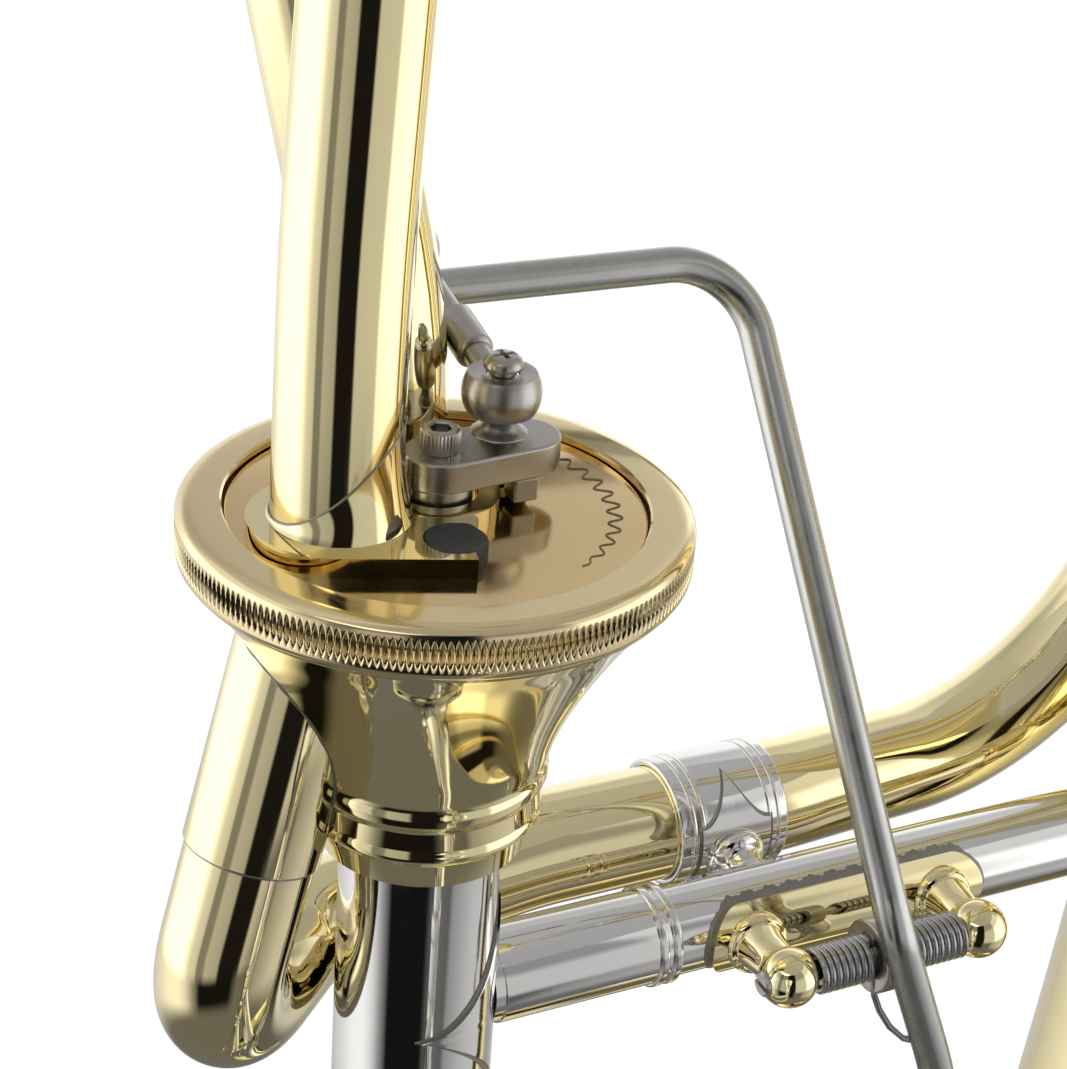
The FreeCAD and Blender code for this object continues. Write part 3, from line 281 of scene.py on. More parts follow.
def slab(outline, z0, z1):
    """Upright plate from a ground plan."""
    low = [Vector((x, y, z0)) for x, y in outline]
    high = [Vector((x, y, z1)) for x, y in outline]
    return rings([low, high])


def obround(a, b, radius, steps=24):
    """Ground plan with straight sides and round ends about a and b."""
    heading = atan2(b[1] - a[1], b[0] - a[0])
    plan = []
    for centre, start in ((b, heading - pi / 2), (a, heading + pi / 2)):
        for i in range(steps + 1):
            angle = start + pi * i / steps
            plan.append((centre[0] + radius * cos(angle), centre[1] + radius * sin(angle)))
    return plan


def wrapped(base, along, facing, radius, thick, low, high, half_angle, steps=56):
    """Thin plate that hugs a tube; half_angle(t) gives its half width at height t."""
    axis = along.normalized()
    out = facing.normalized()
    side = axis.cross(out)
    outer, inner = [], []
    for i in range(steps + 1):
        t = low + (high - low) * (0.5 - 0.5 * cos(pi * i / steps))
        half = max(half_angle(t), 1e-3)
        for r, loops in ((radius + thick, outer), (radius - 0.15, inner)):
            row = []
            for j in range(29):
                angle = half * (j / 14 - 1)
                row.append(base + axis * t + (out * cos(angle) + side * sin(angle)) * r)
            loops.append(row)
    loops = [a + b[::-1] for a, b in zip(outer, inner)]
    return rings(loops)


def carved(base, adds=(), cuts=()):
    """Exact boolean of closed shapes; the helper objects are gone again afterwards."""
    helpers = []

    def solid(shape):
        mesh = bpy.data.meshes.new("helper")
        mesh.from_pydata([tuple(v) for v in shape.verts], [], shape.faces)
        face_outwards(mesh)
        helpers.append(add_object("helper", mesh))
        return helpers[-1]

    body = solid(base)
    for shapes, operation in ((adds, "UNION"), (cuts, "DIFFERENCE")):
        for shape in shapes:
            step = body.modifiers.new(operation, "BOOLEAN")
            step.operation, step.solver, step.object = operation, "EXACT", solid(shape)
    result = body.evaluated_get(bpy.context.evaluated_depsgraph_get()).to_mesh()
    made = Shape([v.co.copy() for v in result.vertices], [tuple(f.vertices) for f in result.polygons])
    body.to_mesh_clear()
    for obj in helpers:
        mesh = obj.data
        bpy.data.objects.remove(obj)
        bpy.data.meshes.remove(mesh)
    return made


# ---------------------------------------------------------------- materials
def nodes_of(name):
    material = bpy.data.materials.new(name)
    material.use_nodes = True
    tree = material.node_tree
    shader = tree.nodes["Principled BSDF"]
    return material, tree, shader


def wired(tree, kind, output, inputs, **settings):
    """Adds a shader node; each input is a socket to link or a constant to set."""
    made = tree.nodes.new(kind)
    for name, value in settings.items():
        setattr(made, name, value)
    for name, value in inputs.items():
        if isinstance(value, bpy.types.NodeSocket):
            tree.links.new(value, made.inputs[name])
        else:
            made.inputs[name].default_value = value
    return made.outputs[output]


def own_coords(tree):
    return tree.nodes.new("ShaderNodeTexCoord").outputs["Object"]


def noise(tree, scale, detail=3.0):
    """Noise over the object's own coordinates."""
    return wired(tree, "ShaderNodeTexNoise", "Fac",
                 {"Vector": own_coords(tree), "Scale": scale, "Detail": detail})


def spread(tree, source, low, high):
    """The source's middle range stretched between two values."""
    return wired(tree, "ShaderNodeMapRange", "Result",
                 {"Value": source, "From Min": 0.3, "From Max": 0.7, "To Min": low, "To Max": high})


def mixed(tree, factor, a, b):
    return wired(tree, "ShaderNodeMix", "Result", {"Factor": factor, "A": a, "B": b}, data_type="RGBA")


def toned(tree, shader, scale, light, dark):
    """Base colour that drifts slowly between a light and a dark tone."""
    drift = spread(tree, noise(tree, scale), 0.0, 1.0)
    tree.links.new(mixed(tree, drift, (*light, 1), (*dark, 1)), shader.inputs["Base Color"])


def bumped(tree, shader, source, depth):
    normal = wired(tree, "ShaderNodeBump", "Normal", {"Height": source, "Strength": 1.0, "Distance": depth})
    tree.links.new(normal, shader.inputs["Normal"])


def metal(name, light, dark, rough, rough_spread, grain, grain_depth, coat=0.0):
    """Metal with slow colour drift, uneven roughness and a fine surface grain."""
    material, tree, shader = nodes_of(name)
    shader.inputs["Metallic"].default_value = 1.0
    toned(tree, shader, 35.0, light, dark)
    rub = spread(tree, noise(tree, 260.0, 6.0), rough - rough_spread, rough + rough_spread)
    tree.links.new(rub, shader.inputs["Roughness"])
    bumped(tree, shader, noise(tree, grain, 4.0), grain_depth)
    if coat > 0:
        shader.inputs["Coat Weight"].default_value = coat
        shader.inputs["Coat Roughness"].default_value = 0.03
    return material


def dull(name, light, dark, rough, grain, grain_depth, specular=0.4):
    material, tree, shader = nodes_of(name)
    toned(tree, shader, 180.0, light, dark)
    shader.inputs["Roughness"].default_value = rough
    shader.inputs["Specular IOR Level"].default_value = specular
    bumped(tree, shader, noise(tree, grain, 5.0), grain_depth)
    return material


BRASS = metal("lacquered_brass", (0.91, 0.80, 0.47), (0.88, 0.76, 0.43), 0.045, 0.012, 90.0, 2e-6, 0.2)
RING_BRASS = metal("ring_brass", (0.86, 0.71, 0.42), (0.82, 0.67, 0.38), 0.12, 0.03, 1200.0, 1e-6, 0.2)
PLATE_BRASS = metal("plate_brass", (0.80, 0.60, 0.31), (0.76, 0.56, 0.28), 0.13, 0.03, 900.0, 1e-6, 0.2)
NICKEL = metal("nickel_silver", (0.80, 0.79, 0.77), (0.75, 0.74, 0.72), 0.06, 0.02, 120.0, 2e-6)
STEEL = metal("satin_steel", (0.47, 0.45, 0.42), (0.40, 0.38, 0.35), 0.30, 0.06, 5200.0, 9e-6)
ROD_STEEL = metal("rod_steel", (0.52, 0.52, 0.51), (0.45, 0.45, 0.43), 0.26, 0.05, 4200.0, 5e-6)
SPRING = metal("spring_steel", (0.44, 0.44, 0.45), (0.34, 0.34, 0.34), 0.27, 0.06, 900.0, 3e-6)
SILVER = metal("silver_plate", (0.90, 0.89, 0.86), (0.86, 0.85, 0.82), 0.05, 0.015, 120.0, 2e-6)
BRONZE = metal("bronze_bush", (0.66, 0.42, 0.22), (0.58, 0.36, 0.18), 0.25, 0.05, 900.0, 3e-6)
SOLDER = metal("solder_line", (0.34, 0.33, 0.31), (0.24, 0.23, 0.21), 0.42, 0.08, 2600.0, 1e-5)
RUBBER = dull("black_rubber", (0.018, 0.018, 0.019), (0.030, 0.030, 0.031), 0.62, 2200.0, 4e-5)
CORK = dull("cork", (0.50, 0.33, 0.18), (0.32, 0.19, 0.09), 0.85, 1500.0, 1e-4, 0.2)
# Dark brown for the plate's engraved lines, and also painted shade in the gap round the valve plate
ENGRAVING_AND_GAP_SHADE = dull("engraving_and_painted_gap_shade", (0.10, 0.075, 0.04), (0.16, 0.12, 0.06), 0.6, 2000.0, 1e-6, 0.3)
SLOTS = {BRASS: "lacquered_brass", RING_BRASS: "brass_solid", PLATE_BRASS: "brass_solid",
         NICKEL: "nickel_silver", STEEL: "satin_steel", ROD_STEEL: "satin_steel",
         SPRING: "spring_steel", SILVER: "silver_plate", RUBBER: "black_rubber", CORK: "cork"}


# ---------------------------------------------------------------- bell and main tubing
def bell_radius(z):
    return RIM_R * (1 + (z - RIM_Z) / FLARE_LENGTH) ** -FLARE_POWER


def build_bell():
    foot = RIM_Z + 1.6
    heights = [foot + (SLEEVE_FOOT_Z - foot) * (i / 110) ** 2.0 for i in range(111)]
    outside = [(bell_radius(z), z) for z in heights]
    inside = [(bell_radius(z) - BELL_WALL, z) for z in heights]
    rim = [(RIM_R - 4, RIM_Z + 0.05), (RIM_R - 1, RIM_Z), (RIM_R - 0.1, RIM_Z + 0.7), (RIM_R, RIM_Z + 1.5),
           (RIM_R - 0.2, RIM_Z + 2.3), (RIM_R - 1.0, RIM_Z + 2.9), (RIM_R - 2.6, RIM_Z + 3.0)]
    shell = lathe(inside[::-1] + [(RIM_R - 4, RIM_Z + 1.2)] + rim + outside[3:], BELL_LEG, UP, 256,
                  closed=True)
    piece("bell_flare", shell, BRASS, ["bell"])
    reach = BELL_X - bell_radius(CROSSBAR_Z)
    foot_profile = [(CROSSBAR_R, 0), (CROSSBAR_R + 0.9, 0), (CROSSBAR_R + 1.1, 1.2),
                    (CROSSBAR_R + 2.8, 4.2), (CROSSBAR_R + 3.2, 5.2), (CROSSBAR_R + 3.2, 9.0),
                    (CROSSBAR_R, 9.0)]
    piece("crossbar_foot", turned(foot_profile, Vector((reach - 5.0, 0, CROSSBAR_Z)), ACROSS), BRASS,
          ["bell_foot"])


def build_tubes():
    main_points = [(OUTLET.x, OUTLET.y, -4), OUTLET_TOP, (MAIN_LEG.x, 0, 112),
                   (MAIN_LEG.x, 0, SLEEVE_FOOT_Z)]
    piece("main_outlet_tube", pipe(main_points, [400, 400], TUBE_R, 128), BRASS, ["main_tube"])
    loop_points = [(-1.5, 14.0, -4), (-1.1, 14.3, 14), (LOOP_LEFT.x, LOOP_LEFT.y, 118),
                   (LOOP_LEFT.x, LOOP_LEFT.y, SLEEVE_FOOT_Z)]
    piece("loop_outlet_tube", pipe(loop_points, [110, 60], LOOP_R, 128), BRASS, ["loop_out_tube"])
    bend = [(46, RETURN_Y, RETURN_Z), (FERRULE_X1 + 3, RETURN_Y, RETURN_Z),
            (LOOP_RIGHT.x, LOOP_RIGHT.y, RETURN_Z - 3.5), (LOOP_RIGHT.x, LOOP_RIGHT.y, SLEEVE_FOOT_Z)]
    piece("loop_return_bend", pipe(bend, [40, 45], LOOP_R, 128), BRASS, ["loop_bend"])


def side_line():
    top, corner = Vector((-13.6, 3.0, -14.0)), Vector((-30.2, -2.5, -70.7))
    return top, (corner - top).normalized(), corner


def build_side_port():
    """Sleeve from the side of the cone, with the tight crook that slides into it."""
    top, run, corner = side_line()
    length = 30.3
    profile = [(LOOP_R - 0.2, 0), (8.4, 0), (8.4, length), (LOOP_R - 0.2, length)]
    piece("side_port_sleeve", turned(profile, top, run, 0.2), BRASS, ["side_tube"])
    crook = [top + run * 18.3, corner, (-8, RETURN_Y, -71.0), (25, RETURN_Y, RETURN_Z),
             (46, RETURN_Y, RETURN_Z)]
    piece("side_crook", pipe(crook, [13, 14, 60], LOOP_R, 128), BRASS, ["return_crook"])
    seam = band(top + run * (length - 0.1), run, 0.35, 8.18, LOOP_R - 0.2, 0.05)
    piece("side_seam", seam, SOLDER)
    cone_seam()


def build_return_ferrule():
    base = Vector((FERRULE_X0, RETURN_Y, RETURN_Z))
    length = FERRULE_X1 - FERRULE_X0
    outer = LOOP_R + 1.0
    shape = band(base, ACROSS, length, outer, LOOP_R, 1.1)
    for x in (1.8, 3.2, length - 3.4, length - 2.0):
        shape += band(base + ACROSS * x, ACROSS, 0.7, outer + 0.12, LOOP_R, 0.3)
    piece("return_ferrule_ring", shape, NICKEL, ["return_ferrule"])
    middle = base + ACROSS * (length / 2)
    to_bar = (Vector((middle.x, 0, CROSSBAR_Z)) - middle).normalized()

    def ogee(reach, shoulder, peak):
        return lambda t: shoulder + (peak - shoulder) * (1 - min(1, abs(t) / reach)) ** 2.2

    pad = wrapped(middle, ACROSS, to_bar, outer, 0.3, -5.4, 5.4, ogee(5.4, 0.55, 1.4), 80)
    piece("ferrule_pad", pad, NICKEL)
    edge = wrapped(middle, ACROSS, to_bar, outer, 0.12, -5.8, 5.8, ogee(5.8, 0.6, 1.47), 80)
    piece("ferrule_pad_solder", edge, SOLDER)
    foot = middle + to_bar * (LOOP_R + 0.8)
    post = turned([(0, 0), (4.2, 0), (4.4, 0.9), (3.9, 1.7), (3.0, 2.3), (2.5, 4.0), (2.6, 6.4), (3.0, 8.4),
                   (0, 8.4)], foot, to_bar, 0.5)
    piece("return_brace_post", post, NICKEL, ["return_post"])


# ---------------------------------------------------------------- receiver and crossbar
def build_receiver():
    tube = turned([(8.3, -45.0), (RECEIVER_R, -45.0), (RECEIVER_R, -95.4), (RECEIVER_R - 0.4, -96.0),
                   (9.2, -96.0), (9.2, -104.0), (8.3, -104.0)], ZERO, UP, 0.2, 192)
    piece("receiver_tube", tube, NICKEL, ["slide_receiver"])
    nut_edge = lambda a: 12.2 + 0.28 * abs(sin(a * 30))
    nut = lathe([(8.25, -109.5), (11.0, -109.5), (12.0, -108.6), (nut_edge, -108.0),
                 (nut_edge, -98.2), (12.0, -97.4), (11.4, -96.4), (9.25, -96.4), (9.25, -107.9),
                 (8.25, -107.9)], ZERO, UP, 360, closed=True)
    piece("lock_nut_knurled", nut, NICKEL, ["lock_nut"], body="lock_nut")

    def diamond(reach, widest):
        return lambda t: widest * (1 - min(1, (abs(t) / reach)) ** 0.62) + 0.02

    plate = wrapped(CROSSBAR, UP, ACROSS, RECEIVER_R, 0.55, -19.0, 19.0, diamond(19.0, 1.84), 90)
    piece("receiver_diamond", plate, NICKEL, ["receiver_flange"])
    line = wrapped(CROSSBAR, UP, ACROSS, RECEIVER_R, 0.2, -20.2, 20.2, diamond(20.2, 1.93), 90)
    piece("receiver_diamond_solder", line, SOLDER)


def build_crossbar():
    start, end = CROSSBAR + ACROSS * (RECEIVER_R - 1), CROSSBAR + ACROSS * (BELL_X - 8)
    piece("crossbar_tube", rod(start, end, CROSSBAR_R, 128), NICKEL, ["crossbar"])
    start_x, end_x = RECEIVER_R + 0.4, 36.0
    sleeve = band(CROSSBAR + ACROSS * start_x, ACROSS, end_x - start_x, 6.4, CROSSBAR_R - 0.1, 0.15)
    for x in (end_x - 1.2, end_x - 3.2):
        sleeve += band(CROSSBAR + ACROSS * x, ACROSS, 1.2, 6.85, CROSSBAR_R, 0.6)
    piece("crossbar_end_sleeve", sleeve, NICKEL, ["crossbar_sleeve"])


# ---------------------------------------------------------------- valve
def smooth_line(points, steps=8):
    """Catmull-Rom curve through profile points."""
    pts = [Vector(p) for p in points]
    ends = [pts[0] * 2 - pts[1]] + pts + [pts[-1] * 2 - pts[-2]]
    out = []
    for p0, p1, p2, p3 in zip(ends, ends[1:], ends[2:], ends[3:]):
        for k in range(steps):
            t = k / steps
            out.append((p1 * 2 + (p2 - p0) * t + (p0 * 2 - p1 * 5 + p2 * 4 - p3) * t * t
                        + (p1 * 3 - p0 - p2 * 3 + p3) * t ** 3) * 0.5)
    return [(p.x, p.y) for p in out] + [tuple(pts[-1])]


def build_casing():
    outside = smooth_line(CASE_PROFILE) + eased(CASE_BANDS, 0.35, 5, closed=False)
    inside = [(10.2, -45.0), (10.2, -41), (12.2, -31), (21.5, -8.5), (24.0, -7.0)]
    piece("valve_cone", lathe(outside + inside, ZERO, UP, 256, closed=True), BRASS, ["valve_casing"],
          slot="brass_solid")


def cone_seam():
    """Bead of solder where the side sleeve leaves the cone."""
    profile = smooth_line(CASE_PROFILE) + CASE_BANDS
    top, run, _ = side_line()
    u, v = basis(run)

    def outside(point):
        radius = hypot(point.x, point.y)
        for (r0, z0), (r1, z1) in zip(profile, profile[1:]):
            if z1 <= point.z <= z0:
                return radius - (r0 + (r1 - r0) * (z0 - point.z) / max(z0 - z1, 1e-6))
        return radius - profile[0][0] if point.z > profile[0][1] else 1.0

    points = []
    for i in range(240):
        angle = 2 * pi * i / 240
        near = top + (u * cos(angle) + v * sin(angle)) * 8.42
        low, high = -8.0, 34.0
        for _ in range(30):
            middle = (low + high) / 2
            if outside(near + run * middle) > 0:
                high = middle
            else:
                low = middle
        if near.x + run.x * low < -4 and low > -7:
            points.append(near + run * low)
    gap = max(range(len(points)), key=lambda k: (points[k] - points[k - 1]).length)
    points = points[gap:] + points[:gap]
    points = [p for k, p in enumerate(points) if k == 0 or (p - points[k - 1]).length > 0.02]
    lumpy = lambda t: 0.17 + 0.045 * sin(61 * t) + 0.03 * sin(143 * t)
    piece("cone_seam", sweep(headed(points), lumpy, 10), SOLDER)


def knurl(radius, depth, count, level):
    """Radius round a knurled edge at a height from -1 to 1: lens-shaped V grooves."""
    opening = max(1e-3, 1 - level * level)

    def at(angle):
        phase = angle * count / (2 * pi) % 1.0
        return radius - depth * opening * max(0.0, 1 - abs(2 * phase - 1) / (0.9 * opening ** 0.6))
    return at


def build_valve_ring():
    count, depth, outer = 216, 0.55, 30.0
    levels = [(24.65, -7.0), (24.65, -0.25), (24.9, 0.0), (27.9, 0.0), (28.5, -0.05), (29.1, -0.22),
              (29.6, -0.55), (29.85, -0.9), (29.97, -1.15)]
    low, high, rows = -5.25, -1.35, 14
    for i in range(rows + 1):
        level = 2 * i / rows - 1
        levels.append((knurl(outer, depth, count, level), high + (low - high) * i / rows))
    levels += [(29.97, -5.5), (29.9, -5.9), (29.65, -6.3), (29.35, -6.5), (29.25, -6.8), (29.0, -7.0)]
    piece("knurled_ring", lathe(levels, ZERO, UP, count * 10, closed=True), RING_BRASS, ["valve_ring"],
          sharp=28)


def build_plate():
    plate = turned([(0, -4), (24.4, -4), (24.4, -1), (0, -1)], ZERO, UP, 0.3, 256)
    piece("valve_face_plate", plate, PLATE_BRASS, ["valve_plate"])
    # Dark band filling the gap between the plate's edge and the ring: painted shade for the shadow in that
    # gap
    shade = band(Vector((0, 0, -3.0)), UP, 1.0, 24.7, 24.2, 0.05)
    piece("plate_gap_shade", shade, ENGRAVING_AND_GAP_SHADE)
    line_r, swing, waves, radius = 0.13, 0.9, 13, 20.6
    path = []
    start, sweep_angle, count = radians(-62), radians(112), 260
    for i in range(count + 1):
        t = i / count
        angle = start + sweep_angle * t
        r = radius + swing * sin(t * waves * 2 * pi) * sin(pi * t) ** 0.5
        path.append(Vector((r * cos(angle), r * sin(angle), -1.0 + line_r * 0.12)))
    piece("plate_ornament", sweep(headed(path), line_r, 6), ENGRAVING_AND_GAP_SHADE)


def build_stop_bracket():
    """Brass bracket round the main outlet, with the arm that holds the rubber bumper."""
    z0, z1 = -1.05, 1.4
    foot, hub, stop_a, stop_b = (-13.2, -2.2), (0, 0), (-2.9, -11.6), (10.4, 2.0)

    def column(centre, radius, low=z0, high=z1, steps=128):
        return lathe([(radius, low), (radius, high)], Vector((*centre, 0)), UP, steps)

    web = slab([(-16.8, -11.9), (-2.6, -17.0), (-1.6, -12.5), (1.5, -8.0), (0, 0), (-13.4, -1.6)], z0, z1)
    tube = lathe([(TUBE_R - 0.2, -5), (TUBE_R - 0.2, 5)], OUTLET, OUTLET_TOP - OUTLET, 96)
    swept = [(r * cos(radians(22 - 87 * i / 24)), r * sin(radians(22 - 87 * i / 24)))
             for r, steps in ((12.1, range(25)), (7.8, range(24, -1, -1))) for i in steps]
    holes = [column(hub, 4.65, -3, 3), column(stop_a, 3.7, -3, 3, 64), tube, slab(swept, -3, 3)]
    body = carved(column(foot, 10.4), [web, column(hub, 7.2)], holes)
    piece("stop_bracket_plate", body, BRASS, ["stop_bracket"], slot="brass_solid", bevel=0.42)
    seat = slab([(4.5, 0.6), (12.9, 0.6), (12.9, 4.2), (4.5, 4.2)], z0, 0.0)
    seat = carved(seat, (), [column(hub, 4.65, -3, 3), column(stop_b, 1.95, -3, 3, 64)])
    piece("stop_seat", seat, BRASS, slot="brass_solid", bevel=0.15)
    bumps = Shape()
    for centre, r in ((Vector((*stop_a, -1)), 3.66), (Vector((*stop_b, -1)), 1.93)):
        worn = lambda a, r=r: r * (0.985 - 0.02 * sin(2 * a + 1) - 0.012 * sin(5 * a))
        trim = lambda a, r=r: (r - 0.55) * (1 - 0.05 * sin(3 * a + 2) - 0.03 * sin(7 * a))
        bumps += lathe([(worn, 0), (worn, 2.2), (lambda a, w=worn: w(a) - 0.15, 2.5),
                        (trim, 2.7), (r * 0.4, 2.62), (0.05, 2.58)], centre, UP, 96)
    piece("rubber_bumpers", bumps, RUBBER, ["rubber_stops"])
    build_outlet_skirt()


def build_outlet_skirt():
    """Slant-cut sleeve that fairs the main tube into the bracket, tall on the arm's side."""
    base, top, tall, toward = 1.3, 0.5, 11.5, radians(-26)
    lean = (OUTLET_TOP - OUTLET) / OUTLET_TOP.z
    rows, steps = 24, 160
    loops = []
    for i in range(rows + 1):
        t = i / rows
        loop = []
        for j in range(steps):
            angle = 2 * pi * j / steps
            side = (1 + cos(angle - toward)) / 2
            height = base + (top + tall * side ** 1.6) * t
            radius = TUBE_R + 0.03 + (0.45 + 0.95 * side) * (1 - t) ** 2.2
            centre = OUTLET + lean * height
            loop.append(Vector((centre.x + radius * cos(angle), centre.y + radius * sin(angle), height)))
        loops.append(loop)
    inner = [[p + (OUTLET + lean * p.z - p) * 0.05 for p in loop] for loop in (loops[-1], loops[0])]
    piece("outlet_skirt", rings(loops + inner, closed=True), BRASS)
    crest = loops[-1] + loops[-1][:1]
    piece("outlet_skirt_solder", sweep(headed(crest), 0.11, 8), SOLDER)


def hexagon(radius):
    return lambda angle: radius / cos((angle + pi / 6) % (pi / 3) - pi / 6)


def cross(reach, half):
    """Outline of a cross recess, as a radius at each angle."""
    def at(angle):
        turn = abs((angle + pi / 4) % (pi / 2) - pi / 4)
        return reach / cos(turn) if turn < atan2(half, reach) else half / sin(turn)
    return at


def build_lever_arm():
    z0, z1 = 2.7, 6.5
    arm = slab(obround((0, 0), (11.2, 1.0), 4.3), z0, z1)
    piece("rotor_arm", arm, STEEL, ["lever_arm"], body="rotor", bevel=0.35)
    hub = turned([(0, -0.6), (4.0, -0.6), (4.0, 2.8), (0, 2.8)], ZERO, UP, 0.25)
    piece("rotor_arm_hub", hub, STEEL, body="rotor")
    lug = slab([(8.2, -3.4), (11.2, -3.4), (11.2, -0.4), (8.2, -0.4)], -0.15, z0 + 0.1)
    piece("rotor_arm_lug", lug, STEEL, body="rotor", bevel=0.25)
    neck = turned([(0, 0), (3.6, 0), (2.5, 0.7), (1.4, 2.2), (0, 2.2)],
                  Vector((NEAR_BALL.x, NEAR_BALL.y, z1 - 0.05)), UP, 0.4)
    piece("rotor_arm_boss", neck, STEEL, body="rotor")
    head = 2.35
    ridged = lambda a: head - 0.13 * abs(sin(a * 18))
    screw = lathe([(1.5, 0), (head - 0.2, 0.02), (ridged, 0.25), (ridged, 2.45), (head - 0.15, 2.7),
                   (head - 0.4, 2.9), (hexagon(1.35), 2.9), (hexagon(1.2), 2.7), (hexagon(1.2), 1.5)],
                  Vector((0, 0, z1)), UP, 288)
    piece("cap_screw", screw, STEEL, ["arm_screw"], body="rotor")


def build_link():
    stud = rod(NEAR_BALL - UP * 3.0, NEAR_BALL + UP * 3.2, STUD_R, 48)
    pan = lathe([(0.9, 0), (2.3, 0.02), (2.35, 0.2), (2.32, 0.6), (2.1, 1.05), (1.75, 1.38),
                 (1.5, 1.5), (cross(1.35, 0.34), 1.6), (cross(1.2, 0.28), 1.45), (cross(0.9, 0.22), 0.7)],
                NEAR_BALL + UP * 3.05, UP, 192)
    piece("ball_screw", stud + pan, STEEL, ["ball_stud"], body="rotor")
    inner_ball = ball(NEAR_BALL, BALL_R, -55, 55, 96, 24)
    piece("link_inner_ball", inner_ball, NICKEL, ["link_ball"], body="link_ball", slot="satin_steel")
    run = (FAR_BALL - NEAR_BALL).normalized()

    def eye(centre, outer, hollow):
        low = asin(EYE_HALF / outer)
        outside = [(outer * cos(a), outer * sin(a)) for a in [low * (i / 12 - 1) for i in range(25)]]
        lip = sqrt(max(hollow ** 2 - EYE_HALF ** 2, 1.0)) + 0.25
        inside = [(lip + 0.5, EYE_HALF), (lip, EYE_HALF - 0.15), (hollow, 0), (lip, 0.15 - EYE_HALF),
                  (lip + 0.5, -EYE_HALF)]
        return lathe(outside + inside, centre, UP, 128, closed=True)

    far_hollow = FAR_BALL_R + FAR_PLAY
    shank = sweep(straight(NEAR_BALL + run * 3.7, FAR_BALL - run * 3.9), 1.7, 64)
    sleeve = turned([(1.5, 0), (1.9, 0), (2.35, 0.5), (2.35, 7.1), (1.9, 7.6), (1.5, 7.6)],
                    NEAR_BALL + run * 7.4, run, 0.2, 96)
    link = eye(NEAR_BALL, EYE_R, BALL_R + 0.05) + eye(FAR_BALL, far_hollow + 1.1, far_hollow) + shank + sleeve
    piece("link_bar", link, STEEL, ["link_rod"], body="link")


# ---------------------------------------------------------------- trigger
LEVER_ROUTE = [(8.8, 31.5, 12.4), (57.0, 31.5, 11.4), (57.8, -21.6, -60.4), (67.6, -22.0, -85.0),
               (74.0, -23.6, -107.0)]


def build_saddle():
    low, high, half_h = HINGE_X0 - 5.7, HINGE_X1 + 7.7, 4.7

    def plan(extra):
        half = half_h + extra

        def at(t):
            inside = min(t - (low - extra), (high + extra) - t, half)
            height = sqrt(max(half * half - (half - inside) ** 2, 0.0))
            return asin(min(0.99, height / CROSSBAR_R)) if height > 0 else 0.0
        return at

    shape = wrapped(CROSSBAR, ACROSS, -AWAY, CROSSBAR_R, 1.0, low, high, plan(0.0), 90)
    piece("hinge_saddle_plate", shape, BRASS, ["hinge_saddle"], bevel=0.3)
    smooth = plan(0.8)
    ragged = lambda t: smooth(t) * (1 + 0.035 * sin(1.9 * t) + 0.02 * sin(5.3 * t))
    line = wrapped(CROSSBAR, ACROSS, -AWAY, CROSSBAR_R, 0.15, low - 0.8, high + 0.8, ragged, 160)
    piece("hinge_saddle_solder", line, SOLDER)
    posts = Shape()
    for x in (HINGE_X0, HINGE_X1):
        end, foot = HINGE + ACROSS * x, Vector((x + 1.0, 0.6 - CROSSBAR_R, CROSSBAR_Z))
        length = (end - foot).length
        profile = [(0, 0), (4.3, 0), (4.4, 1.9), (4.0, 2.6), (3.4, 2.9), (3.1, 5.0), (2.75, length - 3),
                   (0, length - 3)]
        posts += turned(profile, foot, end - foot, 0.4, 96)
        posts += pierced_ball(end, 4.0, 1.8 if x == HINGE_X0 else 1.35, -1 if x == HINGE_X0 else 1)
    piece("hinge_posts", posts, BRASS)
    head_x = HINGE_X0 - 4.3
    head = lathe([(0.02, 0), (1.45, 0), (1.72, 0.25), (1.75, 1.4), (0.02, 1.4)],
                 HINGE + ACROSS * head_x, ACROSS, 64, closed=True)
    slot = slab([(head_x - 1, HINGE_Y - 3), (head_x + 0.6, HINGE_Y - 3), (head_x + 0.6, HINGE_Y + 3),
                 (head_x - 1, HINGE_Y + 3)], HINGE_Z - 0.36, HINGE_Z + 0.36)
    piece("hinge_screw_slotted", carved(head, (), [slot]), STEEL, ["hinge_screw"], bevel=0.06)
    end = turned([(0, 0), (1.3, 0), (1.3, 1.2), (0, 1.2)], HINGE + ACROSS * (HINGE_X1 + 2.6), ACROSS, 0.1, 48)
    piece("hinge_screw_end", end, STEEL)


def build_lever():
    lever = sweep(route(LEVER_ROUTE, [11, 12, 60], 2.5), ROD_R, 64)
    top = Vector(LEVER_ROUTE[0])
    boss = turned([(0, -2.6), (3.6, -2.6), (3.6, 2.6), (0, 2.6)], top, UP, 0.5, 96)
    neck = rod(top, FAR_BALL, STUD_R, 48)
    pan = lathe([(0.9, 0), (1.0, 1.3), (1.9, 1.35), (2.0, 1.6), (1.6, 2.2), (1.0, 2.5),
                 (cross(0.9, 0.25), 2.55), (cross(0.75, 0.2), 1.9)], FAR_BALL + UP * 1.8, UP, 128)
    piece("trigger_rod", lever + boss + neck + ball(FAR_BALL, FAR_BALL_R) + pan, ROD_STEEL, ["trigger_lever"],
          body="trigger")
    hub = turned([(1.35, HINGE_X0 + 4.35), (2.1, HINGE_X0 + 4.35), (2.1, HINGE_X1 - 4.35),
                  (1.35, HINGE_X1 - 4.35)], HINGE, ACROSS, 0.1)
    cheek = turned([(2.0, 58.0), (5.0, 58.0), (5.0, 60.6), (2.0, 60.6)], HINGE, ACROSS, 0.35)
    piece("trigger_hub_tube", hub + cheek, STEEL, ["trigger_hub"], body="trigger", slot="lacquered_brass")


